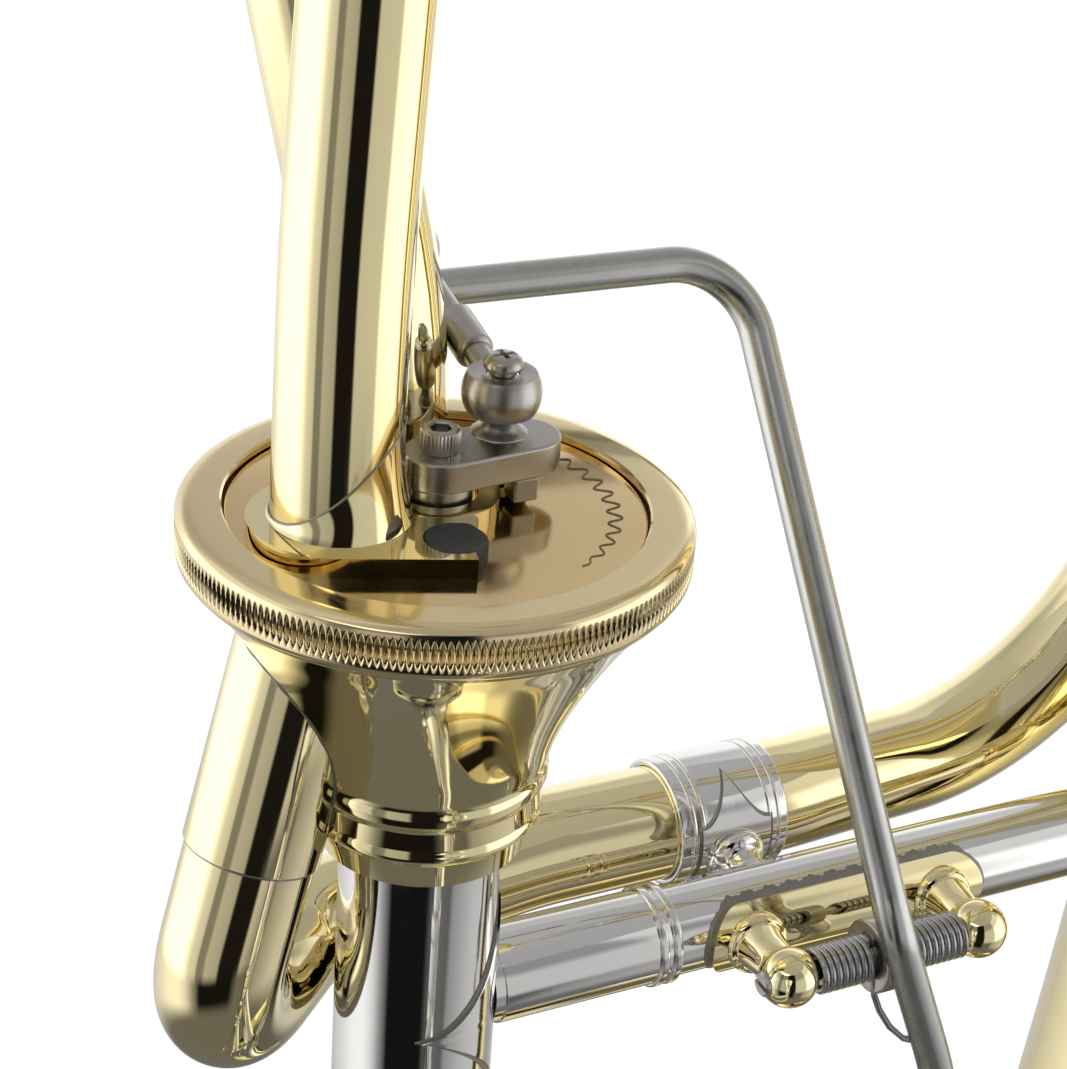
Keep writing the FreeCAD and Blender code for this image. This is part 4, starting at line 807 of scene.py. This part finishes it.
def pierced_ball(centre, radius, hole, side):
    """Ball with a screw hole that opens on one side along the hinge line."""
    low = asin(hole / radius)
    levels = [(radius * sin(low + (pi - low) * i / 48), radius * cos(low + (pi - low) * i / 48))
              for i in range(49)]
    depth = radius * cos(low) - 1.3
    return lathe([(0.01, depth), (hole, depth)] + levels, centre, ACROSS * side, 96)


def helix(first, turns, pitch, radius, tail=()):
    """Spring wire round the hinge line from its first x, with a tail by way of given points."""
    path = []
    for i in range(int(turns * 40) + 1):
        angle = 2 * pi * i / 40
        path.append(Vector((first + pitch * i / 40, HINGE_Y + radius * cos(angle),
                            HINGE_Z + radius * sin(angle))))
    line = headed(path + [Vector(p) for p in tail])
    end = tail[-1] if tail else path[-1]
    return sweep(line + [(Vector(end), line[-1][1])], 0.46, 14)


def build_springs():
    pitch, radius = 0.97, 2.8
    tail = [(58.1, -18.7, -71.9), (58.4, -18.9, -73.8), (59.3, -19.3, -76.2), (60.8, -20.0, -78.8),
            (62.6, -20.9, -80.6), (64.6, -21.6, -81.2)]
    left, right = helix(49.6, 8.25, pitch, radius, tail), helix(64.5, 7.9, pitch, radius)
    piece("torsion_springs", left + right, SPRING, ["trigger_springs"], body="trigger")


def build_paddle():
    half_long, radius, thick = 5.5, 8.5, 1.0
    top, low = Vector(LEVER_ROUTE[-2]), Vector(LEVER_ROUTE[-1])
    along = (low - top).normalized()
    centre = low - along * 4 - AWAY * (ROD_R + thick - 0.7)
    plan = obround((-half_long, 0), (half_long, 0), radius, 28)
    levels = []
    for shrink, lift in ((0.6, -thick), (0.15, -thick + 0.15), (0, -thick + 0.6), (0, thick - 0.6),
                         (0.15, thick - 0.15), (0.6, thick), (2.5, thick + 0.05)):
        loop = []
        for x, z in plan:
            scale = 1 - shrink / radius
            loop.append(centre + Vector((x * scale, -lift, z * scale)))
        levels.append(loop)
    piece("thumb_pad", rings(levels), NICKEL, ["thumb_paddle"], body="trigger")


# ---------------------------------------------------------------- tuning slides
MAIN_LEGS = [(MAIN_LEG, TUBE_R), (BELL_LEG, BELL_LEG_R)]
LOOP_LEGS = [(LOOP_LEFT, LOOP_R), (LOOP_RIGHT, LOOP_R)]


def sleeves(name, legs, node):
    height = SLEEVE_TOP_Z - SLEEVE_FOOT_Z
    shape = Shape()
    for spot, r in legs:
        foot = spot + UP * SLEEVE_FOOT_Z
        shape += band(foot, UP, height, r + SLEEVE_WALL, r, 0.2)
        shape += band(foot + UP * (height - 5), UP, 5, r + 1.4, r, 0.8)
        shape += band(foot - UP * 6, UP, 10, r + 1.1, r, 0.6)
        shape += band(foot - UP * 4.2, UP, 1.2, r + 1.1, r, 0.6)
    piece(name, shape, NICKEL, [node])


def strut(a, b, radius, flange_r):
    """Brace rod with a turned knob and a stepped round foot at each end."""
    run = (b - a).normalized()
    middle = (b - a).length / 2
    shape = rod(a, b, radius, 64)
    knob = [(radius, -6), (radius + 0.7, -5.6), (radius + 0.3, -4.6), (radius + 1.4, -3.0),
            (radius + 2.1, 0), (radius + 1.4, 3.0), (radius + 0.3, 4.6), (radius + 0.7, 5.6), (radius, 6)]
    knob = [(r, z + middle) for r, z in knob]
    shape += lathe(smooth_line(knob, 4), a, run, 96)
    for foot, way in ((a, run), (b, -run)):
        profile = [(0, 0), (flange_r, 0), (flange_r, 1.6), (radius + 1.0, 3.4), (radius, 6), (0, 6)]
        shape += turned(profile, foot, way, 0.4, 96)
    return shape


def level_strut(a, ra, b, rb, z, radius, flange_r):
    p, q = a + UP * z, b + UP * z
    run = (q - p).normalized()
    return strut(p + run * (ra - 1), q - run * (rb - 1), radius, flange_r)


def tuning_slide(name, legs, bow_radii, body, prefix):
    inner = Shape()
    ferrules = Shape()
    for (spot, r), bow_r in zip(legs, bow_radii):
        inner += band(spot + UP * LEG_FOOT_Z, UP, BOW_START_Z - LEG_FOOT_Z, r - 0.05, r - 0.45, 0.1)
        base = SLEEVE_TOP_Z + 0.35
        outer = max(r, bow_r) + 0.9
        height = BOW_START_Z - base
        ferrules += band(spot + UP * base, UP, height, outer, r - 0.05, 0.6)
        ferrules += band(spot + UP * (base + height - 2), UP, 1.6, outer, r, 0.6)
    piece(name + "_tubes", inner, NICKEL, [prefix + "_legs"], body=body)
    piece(name + "_rings", ferrules, NICKEL, [prefix + "_ferrules"], body=body)
    a, b = legs[0][0] + UP * BOW_START_Z, legs[1][0] + UP * BOW_START_Z
    middle, half = (a + b) / 2, (b - a).length / 2 - BOW_INSET
    way = (b - a).normalized()
    line = half_circle(middle, -way, UP, half, 72)
    r0, r1 = bow_radii
    piece(name + "_curve", sweep(line, lambda t: r0 + (r1 - r0) * t, 128), BRASS, [prefix + "_bow"],
          body=body)
    brace = level_strut(legs[0][0], legs[0][1] + 0.9, legs[1][0], legs[1][1] + 0.9, SLEEVE_TOP_Z + 4.5,
                        2.4, 3.8)
    piece(name + "_brace", brace, NICKEL, [prefix + "_brace"], body=body)


def build_tuning_slides():
    sleeves("main_sleeves", MAIN_LEGS, "main_slide_sleeves")
    sleeves("loop_sleeves", LOOP_LEGS, "loop_slide_sleeves")
    wall = SLEEVE_WALL
    braces = level_strut(MAIN_LEG, TUBE_R + wall, BELL_LEG, BELL_LEG_R + wall, SLEEVE_FOOT_Z + 14, 3.0, 5.2)
    braces += level_strut(LOOP_LEFT, LOOP_R + wall, MAIN_LEG, TUBE_R + wall, SLEEVE_FOOT_Z + 30, 2.2, 4.0)
    braces += level_strut(LOOP_RIGHT, LOOP_R + wall, BELL_LEG, BELL_LEG_R + wall,
                          SLEEVE_FOOT_Z + 30, 2.2, 3.6)
    piece("sleeve_braces", braces, NICKEL, ["body_braces"])
    tuning_slide("main_tuning", MAIN_LEGS, (TUBE_R, BELL_LEG_R - 0.2), "main_slide", "main_slide")
    tuning_slide("loop_tuning", LOOP_LEGS, (LOOP_R, LOOP_R), "loop_slide", "loop_slide")


# ---------------------------------------------------------------- hand slide
def at_slide(y, z):
    return Vector((0, y, z))


def slide_grip(z, tube_r, name, body, node):
    half, radius = 10.5, 6.0
    shape = rod(at_slide(SLIDE_Y + 4, z), at_slide(-4, z), radius, 128)
    for y, way in ((0, -AWAY), (SLIDE_Y, AWAY)):
        shape += band(at_slide(y, z - half), UP, 2 * half, tube_r + 1.1, tube_r, 0.5)
        for end in (-half, half - 1.6):
            shape += band(at_slide(y, z + end), UP, 1.6, tube_r + 1.1, tube_r, 0.5)
        collar = [(radius - 0.5, 5), (radius + 1.4, 5), (radius + 1.4, tube_r + 2.2),
                  (radius + 0.7, tube_r + 3.2), (radius, tube_r + 5), (radius - 0.5, tube_r + 5)]
        shape += turned(collar, at_slide(y, z), way, 0.4)
    piece(name, shape, NICKEL, [node], body=body)


def build_inner_slide():
    tubes = Shape()
    for y, top in ((0.0, -62.0), (SLIDE_Y, -95.0)):
        tubes += band(at_slide(y, -790), UP, 790 + top, 7.1, 6.85, 0.1)
        tubes += band(at_slide(y, -790), UP, 120, 7.34, 7.0, 0.3)
    piece("inner_slide_tubes", tubes, NICKEL, ["inner_tubes"])
    barrels = Shape()
    for y in (0.0, SLIDE_Y):
        profile = [(8.1, -176), (9.2, -176), (9.2, -139), (8.4, -134.5), (7.1, -134.5), (7.1, -138.5),
                   (8.1, -138.5)]
        barrels += turned(profile, at_slide(y, 0), UP, 0.4)
        barrels += band(at_slide(y, -142.5), UP, 1.4, 9.2, 8.5, 0.3)
    piece("cork_barrel_pair", barrels, NICKEL, ["cork_barrels"])
    slide_grip(-124.0, 7.1, "upper_grip_bar", "instrument", "upper_grip")
    socket = [(7.1, -112.5), (8.0, -112.5), (8.4, -111.5), (8.7, -98), (9.5, -97), (9.5, -92.8),
              (8.8, -92), (7.15, -92), (7.1, -95)]
    piece("mouthpiece_socket", turned(socket, at_slide(SLIDE_Y, 0), UP, 0.4), NICKEL,
          ["mouthpiece_receiver"])
    cup = [(5.3, -83), (6.2, -83), (6.8, -61), (6.9, -54), (6.7, -48), (7.6, -40), (10.2, -31),
           (13.6, -24), (16.0, -16), (17.4, -8), (18.6, -5.4), (19.4, -3.6), (19.5, -2.2),
           (18.6, -0.6), (16.8, 0), (14.4, -0.7), (13.0, -2.4), (12.9, -8), (11.4, -15), (8.4, -22),
           (5.0, -27), (3.4, -30), (3.4, -34), (4.4, -50)]
    piece("mouthpiece_body", turned(cup, at_slide(SLIDE_Y, -34), UP, 1.6, 192), SILVER, ["mouthpiece"],
          body="mouthpiece")
    edge = lambda a: 10.7 - 0.22 * abs(sin(a * 24))
    ring = lathe([(9.25, -179), (10.3, -179), (edge, -178.4), (edge, -168.8), (10.3, -168), (9.25, -168)],
                 at_slide(SLIDE_Y, 0), UP, 288, closed=True)
    knob = ball(at_slide(SLIDE_Y - 12.1, -173.5), 2.4)
    piece("slide_lock_ring", ring + knob, NICKEL, ["slide_lock"], body="slide_lock")


def build_outer_slide():
    tubes = Shape()
    for y in (0.0, SLIDE_Y):
        tubes += band(at_slide(y, BOW_Z), UP, -172 - BOW_Z, 7.75, 7.4, 0.1)
    piece("outer_slide_tubes", tubes, BRASS, ["outer_tubes"], body="outer_slide")
    slide_grip(-196.0, 7.75, "lower_grip_bar", "outer_slide", "lower_grip")
    bow = half_circle(at_slide(SLIDE_Y / 2, BOW_Z), AWAY, -UP, -SLIDE_Y / 2, 60)
    piece("slide_end_bow", sweep(bow, SLIDE_BOW_R, 112), BRASS, ["slide_bow"], body="outer_slide")
    ferrules = Shape()
    for y in (0.0, SLIDE_Y):
        foot = at_slide(y, BOW_Z - 4)
        ferrules += band(foot, UP, 26, SLIDE_BOW_R + 0.6, 7.75, 0.4)
        ferrules += band(foot, UP, 5, SLIDE_BOW_R + 1.2, 7.75, 0.8)
        ferrules += band(foot + UP * 24, UP, 1.6, SLIDE_BOW_R + 0.8, 7.75, 0.5)
    piece("bow_ferrule_pair", ferrules, NICKEL, ["bow_sleeves"], body="outer_slide")
    low = at_slide(SLIDE_Y / 2, BOW_Z + SLIDE_Y / 2 - SLIDE_BOW_R)
    bumper = turned([(0, -9), (4.5, -9), (6.0, -7.5), (6.0, -1), (5.0, 2), (0, 2)], low, UP, 0.8, 96)
    piece("end_bumper", bumper, RUBBER, ["slide_bumper"], body="outer_slide")


def build_water_key():
    angle = radians(30)
    out = Vector((0, sin(angle), -cos(angle)))
    along = Vector((0, cos(angle), sin(angle)))
    hole = at_slide(SLIDE_Y / 2, BOW_Z) + out * (-SLIDE_Y / 2)
    side, lift = -ACROSS, SLIDE_BOW_R + 4.6
    pivot = hole + side * lift + along * 14
    nipple = turned([(2.0, -0.6), (3.2, -0.6), (3.2, 1.6), (2.0, 1.6)], hole + side * SLIDE_BOW_R, side,
                    0.2, 64)
    posts = nipple + rod(pivot - out * 4.4, pivot + out * 4.4, 0.8, 32)
    for way in (-1, 1):
        start = pivot + out * (way * 3.2)
        posts += turned([(0, -0.8), (2.2, -0.8), (2.2, 0.8), (0, 0.8)], start, out, 0.25, 64)
        posts += rod(start, start - side * 6.5, 0.8, 32)
    piece("water_key_mount", posts, NICKEL, ["key_posts"], body="outer_slide")
    cup_at = hole + side * lift
    tail_end = pivot + along * 16 + side * 3
    lever = turned([(0, -0.4), (4.0, -0.4), (4.0, 1.2), (0, 1.2)], cup_at, side, 0.4, 64)
    lever += pipe([cup_at + side * 0.85, pivot + side * 0.85, tail_end], [20], 1.2, 32)
    lever += turned([(0, -0.8), (3.6, -0.8), (3.6, 1.2), (0, 1.2)], tail_end, side, 0.5, 64)
    lever += turned([(0.85, -2.1), (2.0, -2.1), (2.0, 2.1), (0.85, 2.1)], pivot, out, 0.2, 64)
    piece("water_key_lever", lever, NICKEL, ["key_lever"], body="water_key")
    pad = turned([(0, 1.65), (3.4, 1.65), (3.4, 4.2), (0, 4.2)], hole + side * SLIDE_BOW_R, side, 0.3, 64)
    piece("water_key_pad", pad, CORK, ["key_cork"], body="water_key")


# ---------------------------------------------------------------- CAD nodes that stay
def dress_cad_nodes():
    """Materials for the CAD nodes that are shown as they are."""
    dressed = {"rotor": PLATE_BRASS, "rotor_spindle": STEEL, "rotor_bearings": BRONZE,
               "leadpipe": BRASS, "slide_tenon": NICKEL}
    for node, material in dressed.items():
        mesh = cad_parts[node].data
        mesh.materials.clear()
        mesh.materials.append(material)


# ---------------------------------------------------------------- studio
def camera():
    """Camera at the photograph's angle: azimuth -27.7, elevation 27.5, rolled 4 degrees."""
    spot = Vector((-110.75, -235.36, 131.89))
    azimuth, elevation, roll = radians(-27.69), radians(27.52), radians(4.055)
    back = Vector((sin(azimuth) * cos(elevation), -cos(azimuth) * cos(elevation), sin(elevation)))
    level = Vector((cos(azimuth), sin(azimuth), 0))
    right = level * cos(roll) + back.cross(level) * sin(roll)
    up = back.cross(right)
    data = bpy.data.cameras.new("camera")
    data.lens, data.sensor_width, data.clip_start = 85.37, 36.0, 0.01
    obj = add_object("camera", data)
    obj.matrix_world = Matrix.Translation(place(spot)) @ Matrix((right, up, back)).transposed().to_4x4()
    bpy.context.scene.camera = obj


def studio_world():
    world = bpy.data.worlds.new("studio")
    bpy.context.scene.world = world
    world.use_nodes = True
    shade = world.node_tree.nodes["Background"]
    shade.inputs["Color"].default_value = (1, 1, 1, 1)
    shade.inputs["Strength"].default_value = 1.0


def compass(tree, stops):
    """Light level by compass direction: -180 and 180 are +Y, 0 is -Y and 90 is +X."""
    spun = wired(tree, "ShaderNodeMapping", "Vector",
                 {"Vector": own_coords(tree), "Rotation": (0, 0, pi / 2)})
    heading = wired(tree, "ShaderNodeTexGradient", "Fac", {"Vector": spun}, gradient_type="RADIAL")
    ramp = tree.nodes.new("ShaderNodeValToRGB")
    elements = ramp.color_ramp.elements
    while len(elements) < len(stops):
        elements.new(0.5)
    for element, (angle, level) in zip(elements, stops):
        element.position = angle / 360 + 0.5
        element.color = (level, level, level, 1)
    tree.links.new(heading, ramp.inputs["Fac"])
    return ramp.outputs["Color"]


def faded(tree, source, start, end):
    """0 below start and 1 above end, with a soft passage."""
    return wired(tree, "ShaderNodeMapRange", "Result",
                 {"Value": source, "From Min": start, "From Max": end}, interpolation_type="SMOOTHSTEP")


def card_material(name, stops, low_stops=None, even_middle=False):
    """Glowing card whose level follows the compass.

    A wall takes low_stops near the floor and dims towards its top; a floor card can have one dim
    level in the middle.
    """
    material = bpy.data.materials.new(name)
    material.use_nodes = True
    tree = material.node_tree
    tree.nodes.clear()
    level, strength = compass(tree, stops), 1.0
    if low_stops:
        height = wired(tree, "ShaderNodeSeparateXYZ", "Z", {"Vector": own_coords(tree)})
        level = mixed(tree, faded(tree, height, -0.58, -0.36), compass(tree, low_stops), level)
        strength = wired(tree, "ShaderNodeMapRange", "Result",
                         {"Value": faded(tree, height, 0.2, 0.5), "To Min": 1.0, "To Max": 0.52})
    if even_middle:
        flat = wired(tree, "ShaderNodeMapping", "Vector", {"Vector": own_coords(tree), "Scale": (1, 1, 0)})
        reach = wired(tree, "ShaderNodeVectorMath", "Value", {"Vector": flat}, operation="LENGTH")
        level = mixed(tree, faded(tree, reach, 0.6, 1.0), (0.16, 0.16, 0.16, 1), level)
    glow = wired(tree, "ShaderNodeEmission", "Emission", {"Color": level, "Strength": strength})
    tree.links.new(glow, tree.nodes.new("ShaderNodeOutputMaterial").inputs["Surface"])
    return material


def card(name, verts, faces, material):
    """Card that is only seen in reflections; its origin is the middle of the valve."""
    mesh = bpy.data.meshes.new(name)
    mesh.from_pydata(verts, [], faces)
    mesh.materials.append(material)
    obj = add_object(name, mesh)
    obj.location = place(ZERO)
    obj.visible_camera = obj.visible_diffuse = obj.visible_shadow = False


def light_tent():
    """Ring of light and dark cards round the valve, with a floor card and a ceiling card."""
    radius, top, low, n = 1.0, 0.9, cad_box[0][2] - place(ZERO).z + 0.0005, 144
    around = [(radius * cos(2 * pi * i / n), radius * sin(2 * pi * i / n)) for i in range(n)]
    wall_levels = [(-180, 0.85), (-158, 1.1), (-142, 1.8), (-94, 1.9), (-88, 1.3), (-80, 0.8),
                   (-69, 0.65), (-67, 0.24), (-57, 0.24), (-54, 0.50), (-36, 0.42), (-33, 0.01),
                   (-5, 0.01), (-2, 0.60), (34, 0.65), (39, 1.5), (78, 1.7), (90, 0.8), (118, 0.75),
                   (126, 1.4), (150, 1.15), (180, 0.85)]
    low_levels = [(-180, 0.6), (-140, 0.9), (-120, 1.1), (-98, 1.15), (-84, 0.85), (-72, 0.35),
                  (-60, 0.008), (-12, 0.008), (0, 0.17), (20, 0.13), (26, 0.34), (60, 0.60),
                  (90, 0.68), (95, 0.32), (118, 0.42), (140, 0.6), (180, 0.6)]
    wall = card_material("tent_wall", wall_levels, low_levels)
    card("wall_card", [(x, y, low) for x, y in around] + [(x, y, top) for x, y in around],
         [(i, (i + 1) % n, n + (i + 1) % n, n + i) for i in range(n)], wall)
    card("floor_card", [(x, y, low) for x, y in around], [tuple(range(n))],
         card_material("tent_floor", low_levels, even_middle=True))
    card("ceiling_card", [(x, y, top) for x, y in around], [tuple(range(n))], card_material("tent_ceiling",
         [(-180, 0.5), (-100, 0.7), (-60, 0.4), (0, 0.4), (60, 0.45), (180, 0.5)]))


def area_light(name, spot, target, size, power):
    data = bpy.data.lights.new(name, "AREA")
    data.shape, data.size, data.energy = "SQUARE", size, power
    obj = add_object(name, data)
    obj.location = place(spot)
    obj.rotation_euler = (place(target) - place(spot)).to_track_quat("-Z", "Y").to_euler()


def studio():
    material, _, shader = nodes_of("pale_floor")
    shader.inputs["Base Color"].default_value = (0.93, 0.93, 0.93, 1)
    shader.inputs["Roughness"].default_value = 0.9
    shader.inputs["Specular IOR Level"].default_value = 0.1
    shader.inputs["Emission Color"].default_value = (1, 1, 1, 1)
    shader.inputs["Emission Strength"].default_value = 0.1
    slide_travel = 0.6
    low = cad_box[0][2] - slide_travel - 0.002
    half = 14.0
    mesh = bpy.data.meshes.new("floor")
    mesh.from_pydata([(-half, -half, low), (half, -half, low), (half, half, low), (-half, half, low)],
                     [], [(0, 1, 2, 3)])
    mesh.materials.append(material)
    add_object("floor", mesh)
    area_light("key", (-700, -500, 900), (0, 0, 0), 0.9, 4)
    studio_world()
    light_tent()
    camera()
    view = bpy.context.scene.view_settings
    view.view_transform, view.look = "Standard", "None"


build_bell()
build_tubes()
build_side_port()
build_return_ferrule()
build_receiver()
build_crossbar()
build_casing()
build_valve_ring()
build_plate()
build_stop_bracket()
build_lever_arm()
build_link()
build_saddle()
build_lever()
build_springs()
build_paddle()
build_tuning_slides()
build_inner_slide()
build_outer_slide()
build_water_key()
dress_cad_nodes()
studio()
